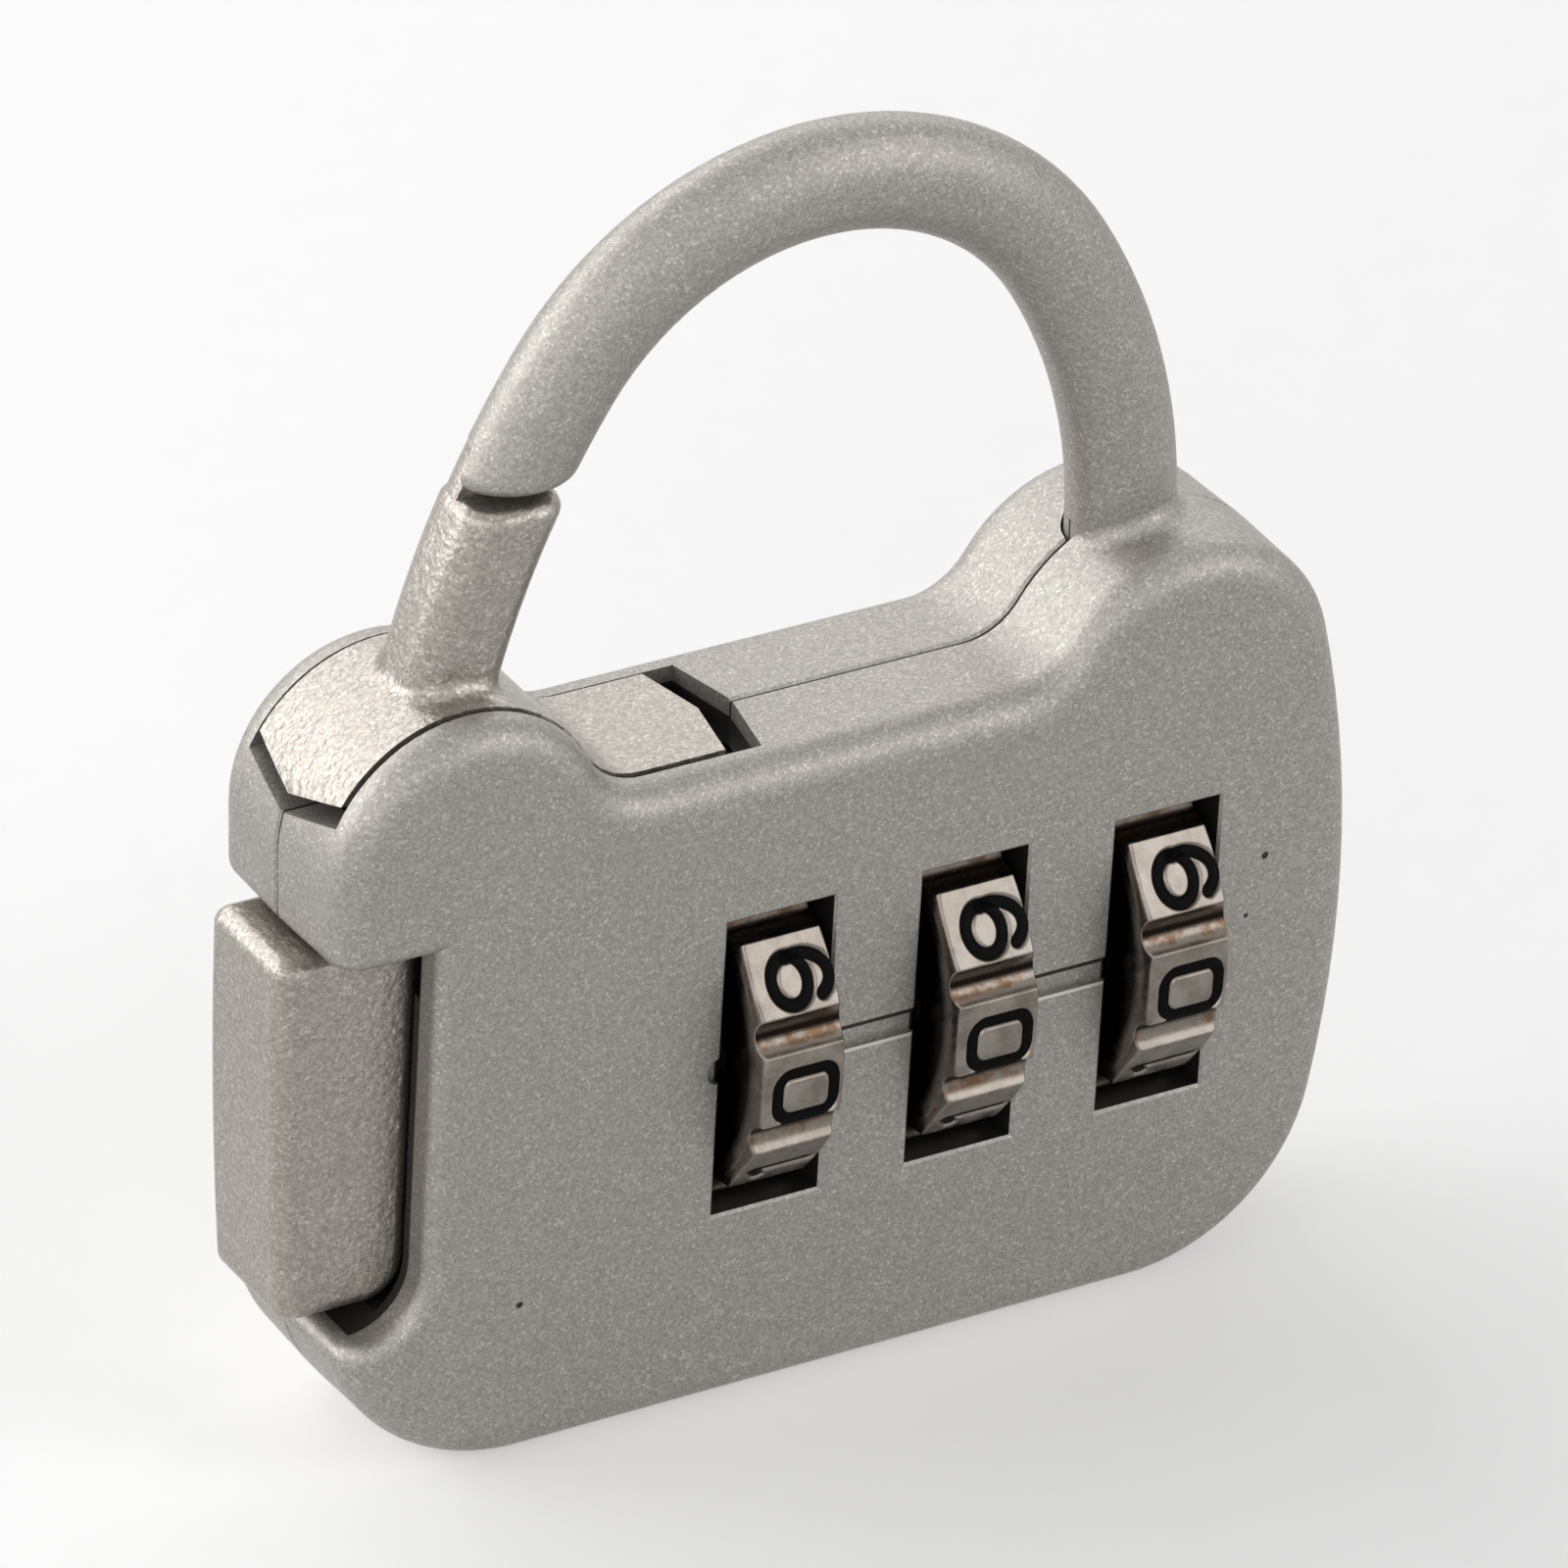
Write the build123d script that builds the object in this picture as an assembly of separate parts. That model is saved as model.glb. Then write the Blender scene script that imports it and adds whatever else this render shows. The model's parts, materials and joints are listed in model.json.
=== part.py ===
from build123d import *
import math
import os

# Luggage combination padlock: a die-cast body in two halves, an arch cast with the front half,
# a swinging gate with a tongue, a side button and three number wheels.
# Millimetres. X runs across the numbered face, Y from the face to the back, Z up.
# The origin is on the flat bottom, in the middle of the width, on the parting plane.

# Driving dimensions of the body
BODY_WIDTH = 32.8
BODY_THICKNESS = 7.0
SADDLE_HEIGHT = 20.35
SKIN = 1.1                      # front and back walls over the mechanism
TOP_WALL = 1.45                 # wall under the saddle
BOTTOM_WALL = 4.1               # floor under the detent comb
DRAFT = 1.5                     # degrees, on the outer sides of each half
EDGE_ROUND = 1.0
CORNER_RADIUS = 6.0
LEFT_LEAN = 0.6                 # the left side leans in this much at the bottom corner
RIGHT_LEAN = 0.4
SIDE_BULGE_RADIUS = 35.0
LEFT_SHOULDER_RADIUS = 4.35     # also the round back of the gate's hub
LEFT_SHOULDER_RISE = 3.3        # top of the left shoulder over the saddle
RIGHT_SHOULDER_RADIUS = 4.65
RIGHT_SHOULDER_RISE = 3.15
RIGHT_SHOULDER_INSET = 1.0      # shoulder circle from the body's full width
SHOULDER_GAP = 0.05
SADDLE_FILLET = 2.0
SEAM_BEVEL = 0.12               # small bevel on both halves along the parting line

# Number wheels and code sleeves
WHEEL_PITCH = 6.2
WHEEL_WIDTH = 2.7
WHEEL_FLAT_RADIUS = 5.12        # axis to a numbered flat
WHEEL_SETBACK = 12.6            # middle wheel to the body's right side
WHEEL_AXIS_HEIGHT = 10.9
NUMBERS = 10
GROOVE_RADIUS = 0.55
GROOVE_DEPTH = 0.27             # below a numbered flat
WHEEL_BEVEL = 0.12
WHEEL_BORE = 2.6
WINDOW_WIDTH = 3.4
WINDOW_HEIGHT = 9.4
WINDOW_BEVEL = 0.08             # at the windows' outer edges
WHEEL_CLEARANCE = 0.2           # wheel tips to the pocket's ends
JOURNAL_RADIUS = 2.1
SLEEVE_BORE = 1.62
SLEEVE_CLEARANCE = 0.05         # each radius, journal in saddle
SLEEVE_SHOULDER = 1.62          # middle of the wheel to the sleeve's shoulders
SLEEVE_GAP = 0.4                # between neighbouring sleeves
KEY_HALF_WIDTH = 0.3
KEY_HEIGHT = 0.3                # drive key beyond the wheel's bore
DRIVE_FIT = 0.04

# Locking spindle: a lug passes right through its sleeve's web as the button goes in
SPINDLE_RADIUS = 0.8
SPINDLE_CLEARANCE = 0.08
LUG_RADIUS = 1.5
LUG_WIDTH = 0.9
LUG_THICKNESS = 0.3
WEB_THICKNESS = 0.35
LUG_GAP = 0.15
KEYWAY_CLEARANCE = 0.12
BUTTON_TRAVEL = LUG_THICKNESS + WEB_THICKNESS + 2 * LUG_GAP

# Side button
BUTTON_THICKNESS = 4.0
BUTTON_HEIGHT = 11.55
BUTTON_BELOW_AXIS = 5.7
BUTTON_DEPTH = 3.47             # inside the body's side
BUTTON_PROUD = 0.95
BUTTON_ROUND = 0.5
BUTTON_CORNER = 1.3
BUTTON_UNDER_SKIN = 0.25        # inner edge behind the recess's wall
BUTTON_TOP_GAP = 0.15
BUTTON_BOTTOM_GAP = 0.45
BUTTON_CLEARANCE = 0.12         # in the room behind the skins
RECESS_CORNER = 1.9
RECESS_ROUND = 0.5
STEM_LENGTH = 2.53
STEM_HALF_WIDTH = 1.6
STEM_HALF_HEIGHT = 1.8
STEM_CLEARANCE = 0.1
SOCKET_DEPTH = 1.6

# Gate
GATE_SWING = 24.0               # degrees, inwards
TONGUE_DEPTH = 1.5
TONGUE_REACH = 8.25             # from the pivot to the tongue's shoulders
TONGUE_POINT = 0.45             # middle of the tongue's end beyond its shoulders
TONGUE_GAP = 1.05               # tongue's end to the slot's end
HUB_END_RISE = 2.3              # hub's lower left end over the pivot
HUB_END_POINT = 0.67
HUB_END_GAP = 0.55
HUB_BOSS = 2.4
HUB_ROOM = 0.5                  # left of the boss, in the body
HUB_WALL = 0.3                  # of the hub's end, left of the boss
TONGUE_ROOM = 0.35              # under the tongue at the end of its swing
PIN_RADIUS = 1.0
PIN_CLEARANCE = 0.05
PIN_SEAT = 0.55
SIDE_CLEARANCE = 0.15           # gate to each skin
ARM_HALF_WIDTH = 1.45
ARM_HALF_DEPTH = 1.4
ARM_CORNER = 1.05
ARM_FLARE = 0.45                # fillet where the arm leaves the hub
LAP_HEIGHT = 1.1                # gate's lip behind the arch's end
LAP_GAP = 0.28                  # arch's end over the arm
LIP_GAP = 0.12                  # arch's step over the lip
LAP_FACE_GAP = 0.1
LAP_OVERRUN = 3.0               # degrees, both bars before the lap is cut level
LAP_ROUND = 0.4                 # on the ends of the arch and the arm
LIP_INSET = 0.1                 # lip inside the arm's outline
LIP_ROOT = 2.0                  # of the lip, inside the arm

# Arch
ARCH_HALF_WIDTH = 1.63
ARCH_HALF_DEPTH = 1.33
ARCH_FOOT_INSET = 6.4           # arch's foot from the body's right side
ARCH_ROOT = 1.9                 # foot inside the right shoulder
ARCH_FLARE = 0.5                # fillet where the arch leaves the shoulder
ARCH_STRAIGHT = 1.2
ARCH_SIDE = (16.7, 32.7)        # radius, degrees
ARCH_CROWN_TURN = 115.3         # its radius follows from the span
ARCH_GATE_SIDE = (27.5, 6.4)
LAP_OFFSET = 2.415              # lap's middle, right of the pivot
ARM_ARC = 14.8                  # degrees of the same curve on the gate, into its hub
ARCH_NOTCH_CLEARANCE = 0.08

# Latch bar, plates, pins and springs
BAR_HALF_WIDTH = 1.2
BAR_CLEARANCE = 0.15
BAR_ARM = 0.65
BAR_RAMP = 0.52                 # run of the ramp under the tongue for each unit of fall
BAR_BEVEL = 1.5                 # upper right corner, under the curved side
BAR_ARM_REACH = 1.6             # arm's end under the axis
PLATE_THICKNESS = 0.3
PLATE_HALF_WIDTH = 2.1
PLATE_HALF_HEIGHT = 2.6
PLATE_CLEARANCE = 0.03
SPRING_WASHER = 0.35
CLIP_THICKNESS = 0.25
CLIP_RADIUS = 1.2
CLIP_MOUTH = 0.35
CLIP_SINK = 0.3                 # the clip sits in the latch bar's arm
DOWEL_RADIUS = 0.6
DOWEL_HALF_LENGTH = 1.6
PRESS_GAP = 0.02
WIRE_SIDES = 8
RETURN_WIRE = 0.35
RETURN_COIL_RADIUS = 1.35
RETURN_TURNS = 3
RETURN_LENGTH = 3.1
GATE_WIRE = 0.3
GATE_COIL_RADIUS = 1.45
GATE_COIL_PITCH = 0.72
GATE_COIL_QUARTERS = 9
GATE_COIL_START = -150          # degrees
GATE_COIL_SET = 0.25            # below the gate's back
GATE_LEGS = (2.4, 0.5)
COMB_THICKNESS = 0.2
COMB_FINGER = 2.3
COMB_SPINE = 1.0

# Index marks beside the reading line
INDEX_HEIGHT = 0.75
INDEX_DEPTH = 0.2
DIMPLE_RADIUS = 0.42
DIMPLE_DEPTH = 0.25

# Places that follow from the sizes
HALF = BODY_THICKNESS / 2
INSIDE = HALF - SKIN
GATE_THICKNESS = 2 * (INSIDE - SIDE_CLEARANCE)
BODY_LEFT = -BODY_WIDTH / 2
BODY_RIGHT = BODY_WIDTH / 2
AXIS_Z = WHEEL_AXIS_HEIGHT
WHEEL_X = [BODY_RIGHT - WHEEL_SETBACK + k * WHEEL_PITCH for k in (-1, 0, 1)]
PIVOT = (
    BODY_LEFT + LEFT_SHOULDER_RADIUS + SHOULDER_GAP,
    SADDLE_HEIGHT + LEFT_SHOULDER_RISE - LEFT_SHOULDER_RADIUS,
)
RIGHT_SHOULDER = (
    BODY_RIGHT - RIGHT_SHOULDER_INSET - RIGHT_SHOULDER_RADIUS,
    SADDLE_HEIGHT + RIGHT_SHOULDER_RISE - RIGHT_SHOULDER_RADIUS,
)
DROP = HALF * math.tan(math.radians(DRAFT))     # drafted outline under the level bottom
LEFT_CORNER = (BODY_LEFT + LEFT_LEAN + CORNER_RADIUS, CORNER_RADIUS - DROP)
RIGHT_CORNER = (BODY_RIGHT - RIGHT_LEAN - CORNER_RADIUS, CORNER_RADIUS - DROP)
TONGUE_END = PIVOT[0] + TONGUE_REACH
SLOT_END = TONGUE_END + TONGUE_GAP
TONGUE_UNDER = SADDLE_HEIGHT - TONGUE_DEPTH
CAVITY_TOP = SADDLE_HEIGHT - TOP_WALL
WHEEL_TIP = WHEEL_FLAT_RADIUS / math.cos(math.radians(12.5))
POCKET_HALF = WHEEL_TIP + WHEEL_CLEARANCE
BUTTON_INNER = BODY_LEFT + BUTTON_DEPTH + 0.1
RECESS_WALL = BUTTON_INNER - BUTTON_UNDER_SKIN
BUTTON_BOTTOM = AXIS_Z - BUTTON_BELOW_AXIS
BUTTON_TOP = BUTTON_BOTTOM + BUTTON_HEIGHT
STEM_END = BUTTON_INNER + STEM_LENGTH
SPRING_SEAT = STEM_END + RETURN_LENGTH + 0.1
SLEEVE_LEFT = -(WHEEL_PITCH - SLEEVE_GAP) / 2 - 0.15   # sleeve's ends from its wheel's middle
SLEEVE_RIGHT = SLEEVE_LEFT + WHEEL_PITCH - SLEEVE_GAP
LAST_SLEEVE_END = WHEEL_X[-1] + SLEEVE_RIGHT
THRUST_PLATE = LAST_SLEEVE_END + SPRING_WASHER + 2 * PLATE_CLEARANCE
BAR_ARM_LEFT = THRUST_PLATE + PLATE_THICKNESS + 0.1
BAR_BOTTOM = AXIS_Z + POCKET_HALF + 0.05
BAR_TOP = CAVITY_TOP - BAR_CLEARANCE
ARCH_FOOT = (BODY_RIGHT - ARCH_FOOT_INSET, SADDLE_HEIGHT + RIGHT_SHOULDER_RISE - ARCH_ROOT)
CLEAR = 8.0                     # how far a cutting block runs past the body
NEAR = 0.01                     # how closely an edge is found by its place


def polar(centre, radius, degrees):
    """Point at an angle and radius from a centre."""
    turn = math.radians(degrees)
    return (centre[0] + radius * math.cos(turn), centre[1] + radius * math.sin(turn))


def heading(start, end):
    """Direction from one point to another, in degrees."""
    return math.degrees(math.atan2(end[1] - start[1], end[0] - start[0]))


def block(x, y, z):
    """Box between the given pairs of limits."""
    size = [pair[1] - pair[0] for pair in (x, y, z)]
    middle = [(pair[1] + pair[0]) / 2 for pair in (x, y, z)]
    return Pos(*middle) * Box(*size)


def rod_x(radius, x0, x1, z=AXIS_Z, y=0.0):
    """Cylinder along X."""
    return Pos((x0 + x1) / 2, y, z) * Rot(0, 90, 0) * Cylinder(radius, x1 - x0)


def rod_y(radius, y0, y1, at):
    """Cylinder along Y at a point of the face."""
    return Pos(at[0], (y0 + y1) / 2, at[1]) * Rot(90, 0, 0) * Cylinder(radius, y1 - y0)


def slab(profile, y0, y1):
    """A face drawn in X and Z, made solid between two Y values."""
    return extrude(Plane.XZ.offset(-y1) * profile, amount=y1 - y0)


def polygon(*points):
    return make_face(Polyline(*points, close=True))


def side_arc_centre():
    """Centre of the large right side arc, tangent inside to the corner's and shoulder's circles."""
    to_shoulder = SIDE_BULGE_RADIUS - RIGHT_SHOULDER_RADIUS
    to_corner = SIDE_BULGE_RADIUS - CORNER_RADIUS
    span = math.dist(RIGHT_SHOULDER, RIGHT_CORNER)
    along = (to_shoulder**2 - to_corner**2 + span**2) / (2 * span)
    across = math.sqrt(to_shoulder**2 - along**2)
    down = heading(RIGHT_SHOULDER, RIGHT_CORNER)
    foot = polar(RIGHT_SHOULDER, along, down)
    return polar(foot, across, down - 90)


def saddle_fillet_centre(shoulder, radius, side):
    """Centre of the hollow fillet between a shoulder and the saddle, on the given side of it."""
    z = SADDLE_HEIGHT + SADDLE_FILLET
    reach = math.sqrt((radius + SADDLE_FILLET) ** 2 - (z - shoulder[1]) ** 2)
    return (shoulder[0] + side * reach, z)


def arc_between(centre, radius, start, end, turn):
    """Arc from one heading to another, turning left (1) or right (-1)."""
    sweep_angle = turn * ((turn * (end - start)) % 360)
    return CenterArc(centre, radius, start, sweep_angle)


def body_outline():
    """Handbag outline: flat bottom, round corners, two shoulders and the saddle between them."""
    side = side_arc_centre()
    left_fillet = saddle_fillet_centre(PIVOT, LEFT_SHOULDER_RADIUS, 1)
    right_fillet = saddle_fillet_centre(RIGHT_SHOULDER, RIGHT_SHOULDER_RADIUS, -1)
    lean = heading(LEFT_CORNER, PIVOT)
    offset_angle = math.degrees(
        math.asin((CORNER_RADIUS - LEFT_SHOULDER_RADIUS) / math.dist(LEFT_CORNER, PIVOT))
    )
    left = lean + 90 - offset_angle
    corner_end = heading(side, RIGHT_CORNER)
    shoulder_start = heading(side, RIGHT_SHOULDER)
    right_end = heading(RIGHT_SHOULDER, right_fillet)
    left_start = heading(PIVOT, left_fillet)
    edges = [
        Line((LEFT_CORNER[0], -DROP), (RIGHT_CORNER[0], -DROP)),
        arc_between(RIGHT_CORNER, CORNER_RADIUS, -90, corner_end, 1),
        arc_between(side, SIDE_BULGE_RADIUS, corner_end, shoulder_start, 1),
        arc_between(RIGHT_SHOULDER, RIGHT_SHOULDER_RADIUS, shoulder_start, right_end, 1),
        arc_between(right_fillet, SADDLE_FILLET, right_end + 180, -90, -1),
        Line((right_fillet[0], SADDLE_HEIGHT), (left_fillet[0], SADDLE_HEIGHT)),
        arc_between(left_fillet, SADDLE_FILLET, -90, left_start + 180, -1),
        arc_between(PIVOT, LEFT_SHOULDER_RADIUS, left_start, left, 1),
        Line(polar(PIVOT, LEFT_SHOULDER_RADIUS, left), polar(LEFT_CORNER, CORNER_RADIUS, left)),
        arc_between(LEFT_CORNER, CORNER_RADIUS, left, 270, 1),
    ]
    return make_face(Wire(edges))


def front_half_blank():
    """Solid front half: drafted sides, rounded front edge, level bottom, bevel at the seam."""
    half = extrude(Plane.XZ * body_outline(), amount=HALF, taper=DRAFT)
    half = fillet(half.faces().sort_by(Axis.Y)[0].edges(), EDGE_ROUND)
    half = half - block((-BODY_WIDTH, BODY_WIDTH), (-2 * HALF, HALF), (-CLEAR, 0))
    return chamfer(half.faces().sort_by(Axis.Y)[-1].edges(), SEAM_BEVEL)


def recess_profile():
    """Outline of the button's recess, open to the left, with rounded inner corners."""
    low = BUTTON_BOTTOM - BUTTON_BOTTOM_GAP
    high = BUTTON_TOP + BUTTON_TOP_GAP
    shape = polygon(
        (BODY_LEFT - CLEAR, low), (RECESS_WALL, low), (RECESS_WALL, high), (BODY_LEFT - CLEAR, high)
    )
    corners = shape.vertices().sort_by(Axis.X)[-2:]
    low_corner = corners.sort_by(Axis.Y)[0]
    return fillet(low_corner, RECESS_CORNER)


def recessed(half):
    """Cut the button's recess and round its edge on the outer face."""
    cut = half - slab(recess_profile(), -HALF - CLEAR, CLEAR)
    face = cut.faces().sort_by(Axis.Y)[0]
    limit = RECESS_WALL + NEAR
    low = BUTTON_BOTTOM - BUTTON_BOTTOM_GAP - NEAR
    high = BUTTON_TOP + BUTTON_TOP_GAP + NEAR
    rim = [
        edge
        for edge in face.edges()
        if edge.bounding_box().max.X < limit
        and edge.bounding_box().min.Z > low
        and edge.bounding_box().max.Z < high
    ]
    return fillet(rim, RECESS_ROUND)


def tongue_lowest():
    """Height that the tongue's point reaches at the end of its swing."""
    swing = math.radians(GATE_SWING)
    reach = TONGUE_REACH + TONGUE_POINT
    return PIVOT[1] - reach * math.sin(swing) - (PIVOT[1] - TONGUE_UNDER) * math.cos(swing)


def gate_cavity():
    """Room for the hub, the tongue and its swing, open through the top of the body."""
    end_z = PIVOT[1] + HUB_END_RISE - HUB_END_GAP
    left_wall = PIVOT[0] - HUB_BOSS - HUB_ROOM
    floor = tongue_lowest() - TONGUE_ROOM
    profile = polygon(
        (BODY_LEFT - CLEAR, end_z),
        (left_wall, end_z),
        (left_wall, BUTTON_TOP + BUTTON_TOP_GAP),
        (RECESS_WALL - NEAR, BUTTON_TOP + BUTTON_TOP_GAP),
        (RECESS_WALL - NEAR, floor),
        (SLOT_END, floor),
        (SLOT_END, SADDLE_HEIGHT + CLEAR),
        (BODY_LEFT - CLEAR, SADDLE_HEIGHT + CLEAR),
    )
    cavity = slab(profile, -INSIDE, INSIDE)
    slot_point = polygon(
        (SLOT_END, -INSIDE), (SLOT_END + TONGUE_POINT, 0), (SLOT_END, INSIDE)
    )
    slot_prism = Pos(0, 0, floor) * extrude(slot_point, amount=CLEAR)
    wall_point = polygon((-INSIDE, end_z), (INSIDE, end_z), (0, end_z - HUB_END_POINT))
    wall_prism = Pos(BODY_LEFT - CLEAR, 0, 0) * extrude(
        Plane.YZ * wall_point, amount=left_wall - BODY_LEFT + CLEAR
    )
    return cavity + slot_prism + wall_prism


def window_bevel(x, side):
    """Shallow bevelled mouth of a window on the front (-1) or back (1) face."""
    mouth = Plane(origin=(x, side * HALF, AXIS_Z), x_dir=(1, 0, 0), z_dir=(0, side, 0))
    outer = mouth * Rectangle(WINDOW_WIDTH + 2 * WINDOW_BEVEL, WINDOW_HEIGHT + 2 * WINDOW_BEVEL)
    return extrude(outer, amount=-2 * WINDOW_BEVEL, taper=45)


def wheel_pockets():
    """A window through both skins and a deeper pocket inside them for each wheel."""
    cuts = []
    for x in WHEEL_X:
        span = (x - WINDOW_WIDTH / 2, x + WINDOW_WIDTH / 2)
        window = (AXIS_Z - WINDOW_HEIGHT / 2, AXIS_Z + WINDOW_HEIGHT / 2)
        pocket = (AXIS_Z - POCKET_HALF, AXIS_Z + POCKET_HALF)
        cuts.append(block(span, (-HALF - 1, HALF + 1), window))
        cuts.append(block(span, (-INSIDE, INSIDE), pocket))
        cuts.extend([window_bevel(x, -1), window_bevel(x, 1)])
    return cuts


def mechanism_cavity():
    """Everything cut out of the two halves for the parts inside them."""
    button_y = BUTTON_THICKNESS / 2 + BUTTON_CLEARANCE
    stem_y = STEM_HALF_WIDTH + STEM_CLEARANCE
    stem_z = STEM_HALF_HEIGHT + STEM_CLEARANCE
    bar_y = BAR_HALF_WIDTH + BAR_CLEARANCE
    bar_right = BAR_ARM_LEFT + BAR_ARM + BUTTON_TRAVEL + 0.05
    arm_low = AXIS_Z - BAR_ARM_REACH - 0.1
    plate_y = PLATE_HALF_WIDTH + PLATE_CLEARANCE
    plate_z = PLATE_HALF_HEIGHT + PLATE_CLEARANCE
    saddle = JOURNAL_RADIUS + SLEEVE_CLEARANCE
    cuts = wheel_pockets()
    cuts.append(gate_cavity())
    cuts.append(
        block(
            (RECESS_WALL - RECESS_CORNER, BUTTON_INNER + BUTTON_TRAVEL + BUTTON_CLEARANCE),
            (-button_y, button_y),
            (BUTTON_BOTTOM - BUTTON_CLEARANCE, BUTTON_TOP + BUTTON_TOP_GAP),
        )
    )
    cuts.append(
        block(
            (RECESS_WALL - 0.5, STEM_END + BUTTON_TRAVEL + 0.1),
            (-stem_y, stem_y),
            (AXIS_Z - stem_z, AXIS_Z + stem_z),
        )
    )
    cuts.append(rod_x(RETURN_COIL_RADIUS + RETURN_WIRE, STEM_END, SPRING_SEAT))
    cuts.append(rod_x(saddle, SPRING_SEAT + PLATE_THICKNESS + PLATE_CLEARANCE, THRUST_PLATE))
    for left in (SPRING_SEAT, THRUST_PLATE):
        plate_x = (left - PLATE_CLEARANCE, left + PLATE_THICKNESS + PLATE_CLEARANCE)
        cuts.append(block(plate_x, (-plate_y, plate_y), (AXIS_Z - plate_z, AXIS_Z + plate_z)))
    bar_room = polygon(
        (SLOT_END - 1, BAR_BOTTOM - 0.1),
        (BAR_ARM_LEFT - 0.08, BAR_BOTTOM - 0.1),
        (BAR_ARM_LEFT - 0.08, arm_low),
        (bar_right, arm_low),
        (bar_right, CAVITY_TOP - BAR_BEVEL),
        (bar_right - BAR_BEVEL, CAVITY_TOP),
        (SLOT_END - 1, CAVITY_TOP),
    )
    cuts.append(slab(bar_room, -bar_y, bar_y))
    cuts.append(
        block(
            (WHEEL_X[0] - WINDOW_WIDTH / 2, WHEEL_X[-1] + WINDOW_WIDTH / 2),
            (-INSIDE, INSIDE),
            (BOTTOM_WALL, AXIS_Z - POCKET_HALF),
        )
    )
    cuts.append(rod_y(PIN_RADIUS + PRESS_GAP, -INSIDE - PIN_SEAT, INSIDE + PIN_SEAT, PIVOT))
    for at in dowel_places():
        cuts.append(rod_y(DOWEL_RADIUS + PRESS_GAP, -DOWEL_HALF_LENGTH, DOWEL_HALF_LENGTH, at))
    return cuts


def dowel_places():
    """Drive pins that hold the halves together, clear of the mechanism."""
    low = BOTTOM_WALL / 2 + 0.3
    return [
        (LEFT_CORNER[0] - 0.6, low),
        (WHEEL_X[1] - WHEEL_PITCH / 2, low - 0.5),
        (RIGHT_CORNER[0] + 1.6, low),
        (ARCH_FOOT[0] - 0.2, CAVITY_TOP + TOP_WALL + 0.2),
    ]


def crown_radius():
    """Radius of the crown that brings the arch from its foot to the lap over the gate."""
    crown_start = 90 + ARCH_SIDE[1]
    crown_end = crown_start + ARCH_CROWN_TURN

    def run(start, end):
        return math.sin(math.radians(end)) - math.sin(math.radians(start))

    side_run = ARCH_SIDE[0] * run(90, crown_start)
    gate_run = ARCH_GATE_SIDE[0] * run(crown_end, crown_end + ARCH_GATE_SIDE[1])
    span = PIVOT[0] + LAP_OFFSET - ARCH_FOOT[0]
    return (span - side_run - gate_run) / run(crown_start, crown_end)


def arch_path(overrun=0.0):
    """Centre line of the arch, from its foot on the right, over the crown, to the gate's lap."""
    foot = (ARCH_FOOT[0], ARCH_FOOT[1])
    rise = Line(foot, (foot[0], foot[1] + ARCH_STRAIGHT))
    side = JernArc(rise @ 1, rise % 1, *ARCH_SIDE)
    crown = JernArc(side @ 1, side % 1, crown_radius(), ARCH_CROWN_TURN)
    radius, turn = ARCH_GATE_SIDE
    gate_side = JernArc(crown @ 1, crown % 1, radius, turn + overrun)
    return [rise, side, crown, gate_side]


def lap_frame():
    """Place and direction, in X and Z, where the arch ends and the gate begins."""
    last = arch_path()[-1]
    return last @ 1, last % 1


def lap_end(bar):
    """The end face of a bar that is nearest to the lap."""
    place, _ = lap_frame()
    return bar.faces().sort_by_distance((place.X, 0, place.Y))[0]


def lap_block(height, y):
    """Level block at the lap, between two heights over the arch's end."""
    place, _ = lap_frame()
    return block((place.X - CLEAR / 2, place.X + CLEAR / 2), y, [place.Y + z for z in height])


def oval(half_width, half_depth):
    """Oval of four arcs, each tangent to the next."""
    small = half_depth**2 / half_width
    across = half_width - small
    large = (half_depth**2 + across**2 - small**2) / (2 * (half_depth - small))
    meet = math.degrees(math.atan2(large - half_depth, across))
    arcs = [
        CenterArc((across, 0), small, -meet, 2 * meet),
        CenterArc((0, half_depth - large), large, meet, 180 - 2 * meet),
        CenterArc((-across, 0), small, 180 - meet, 2 * meet),
        CenterArc((0, large - half_depth), large, 180 + meet, 180 - 2 * meet),
    ]
    return make_face(Wire(arcs))


def arch():
    """Oval bar swept over the arch, cut level, its end rounded, and stepped for the gate's lip."""
    path = Plane.XZ * Wire(arch_path(LAP_OVERRUN))
    section = Pos(ARCH_FOOT[0], 0, ARCH_FOOT[1]) * oval(ARCH_HALF_WIDTH, ARCH_HALF_DEPTH)
    bar = sweep(section, path=path) - lap_block((-CLEAR, 0), (-HALF, HALF))
    bar = fillet(lap_end(bar).edges(), LAP_ROUND)
    return bar - lap_block((-CLEAR, LAP_HEIGHT + LIP_GAP), (-LAP_FACE_GAP / 2, HALF))


def arch_notch():
    """Space in the back half round the foot of the arch."""
    section = oval(
        ARCH_HALF_WIDTH + ARCH_NOTCH_CLEARANCE, ARCH_HALF_DEPTH + ARCH_NOTCH_CLEARANCE
    )
    foot = Pos(ARCH_FOOT[0], 0, ARCH_FOOT[1] - ARCH_NOTCH_CLEARANCE)
    return foot * extrude(section, amount=CLEAR)


def index_marks():
    """Shallow marks on the face along the reading line, and the dimple at the first window."""
    z = (AXIS_Z - INDEX_HEIGHT / 2, AXIS_Z + INDEX_HEIGHT / 2)
    face = (-HALF - 1, -HALF + INDEX_DEPTH)
    marks = [
        block((x + WINDOW_WIDTH / 2, x + WHEEL_PITCH - WINDOW_WIDTH / 2), face, z)
        for x in WHEEL_X[:-1]
    ]
    edge = (WHEEL_X[0] - WINDOW_WIDTH / 2, AXIS_Z)
    marks.append(rod_y(DIMPLE_RADIUS, -HALF - 1, -HALF + DIMPLE_DEPTH, edge))
    return marks


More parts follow.
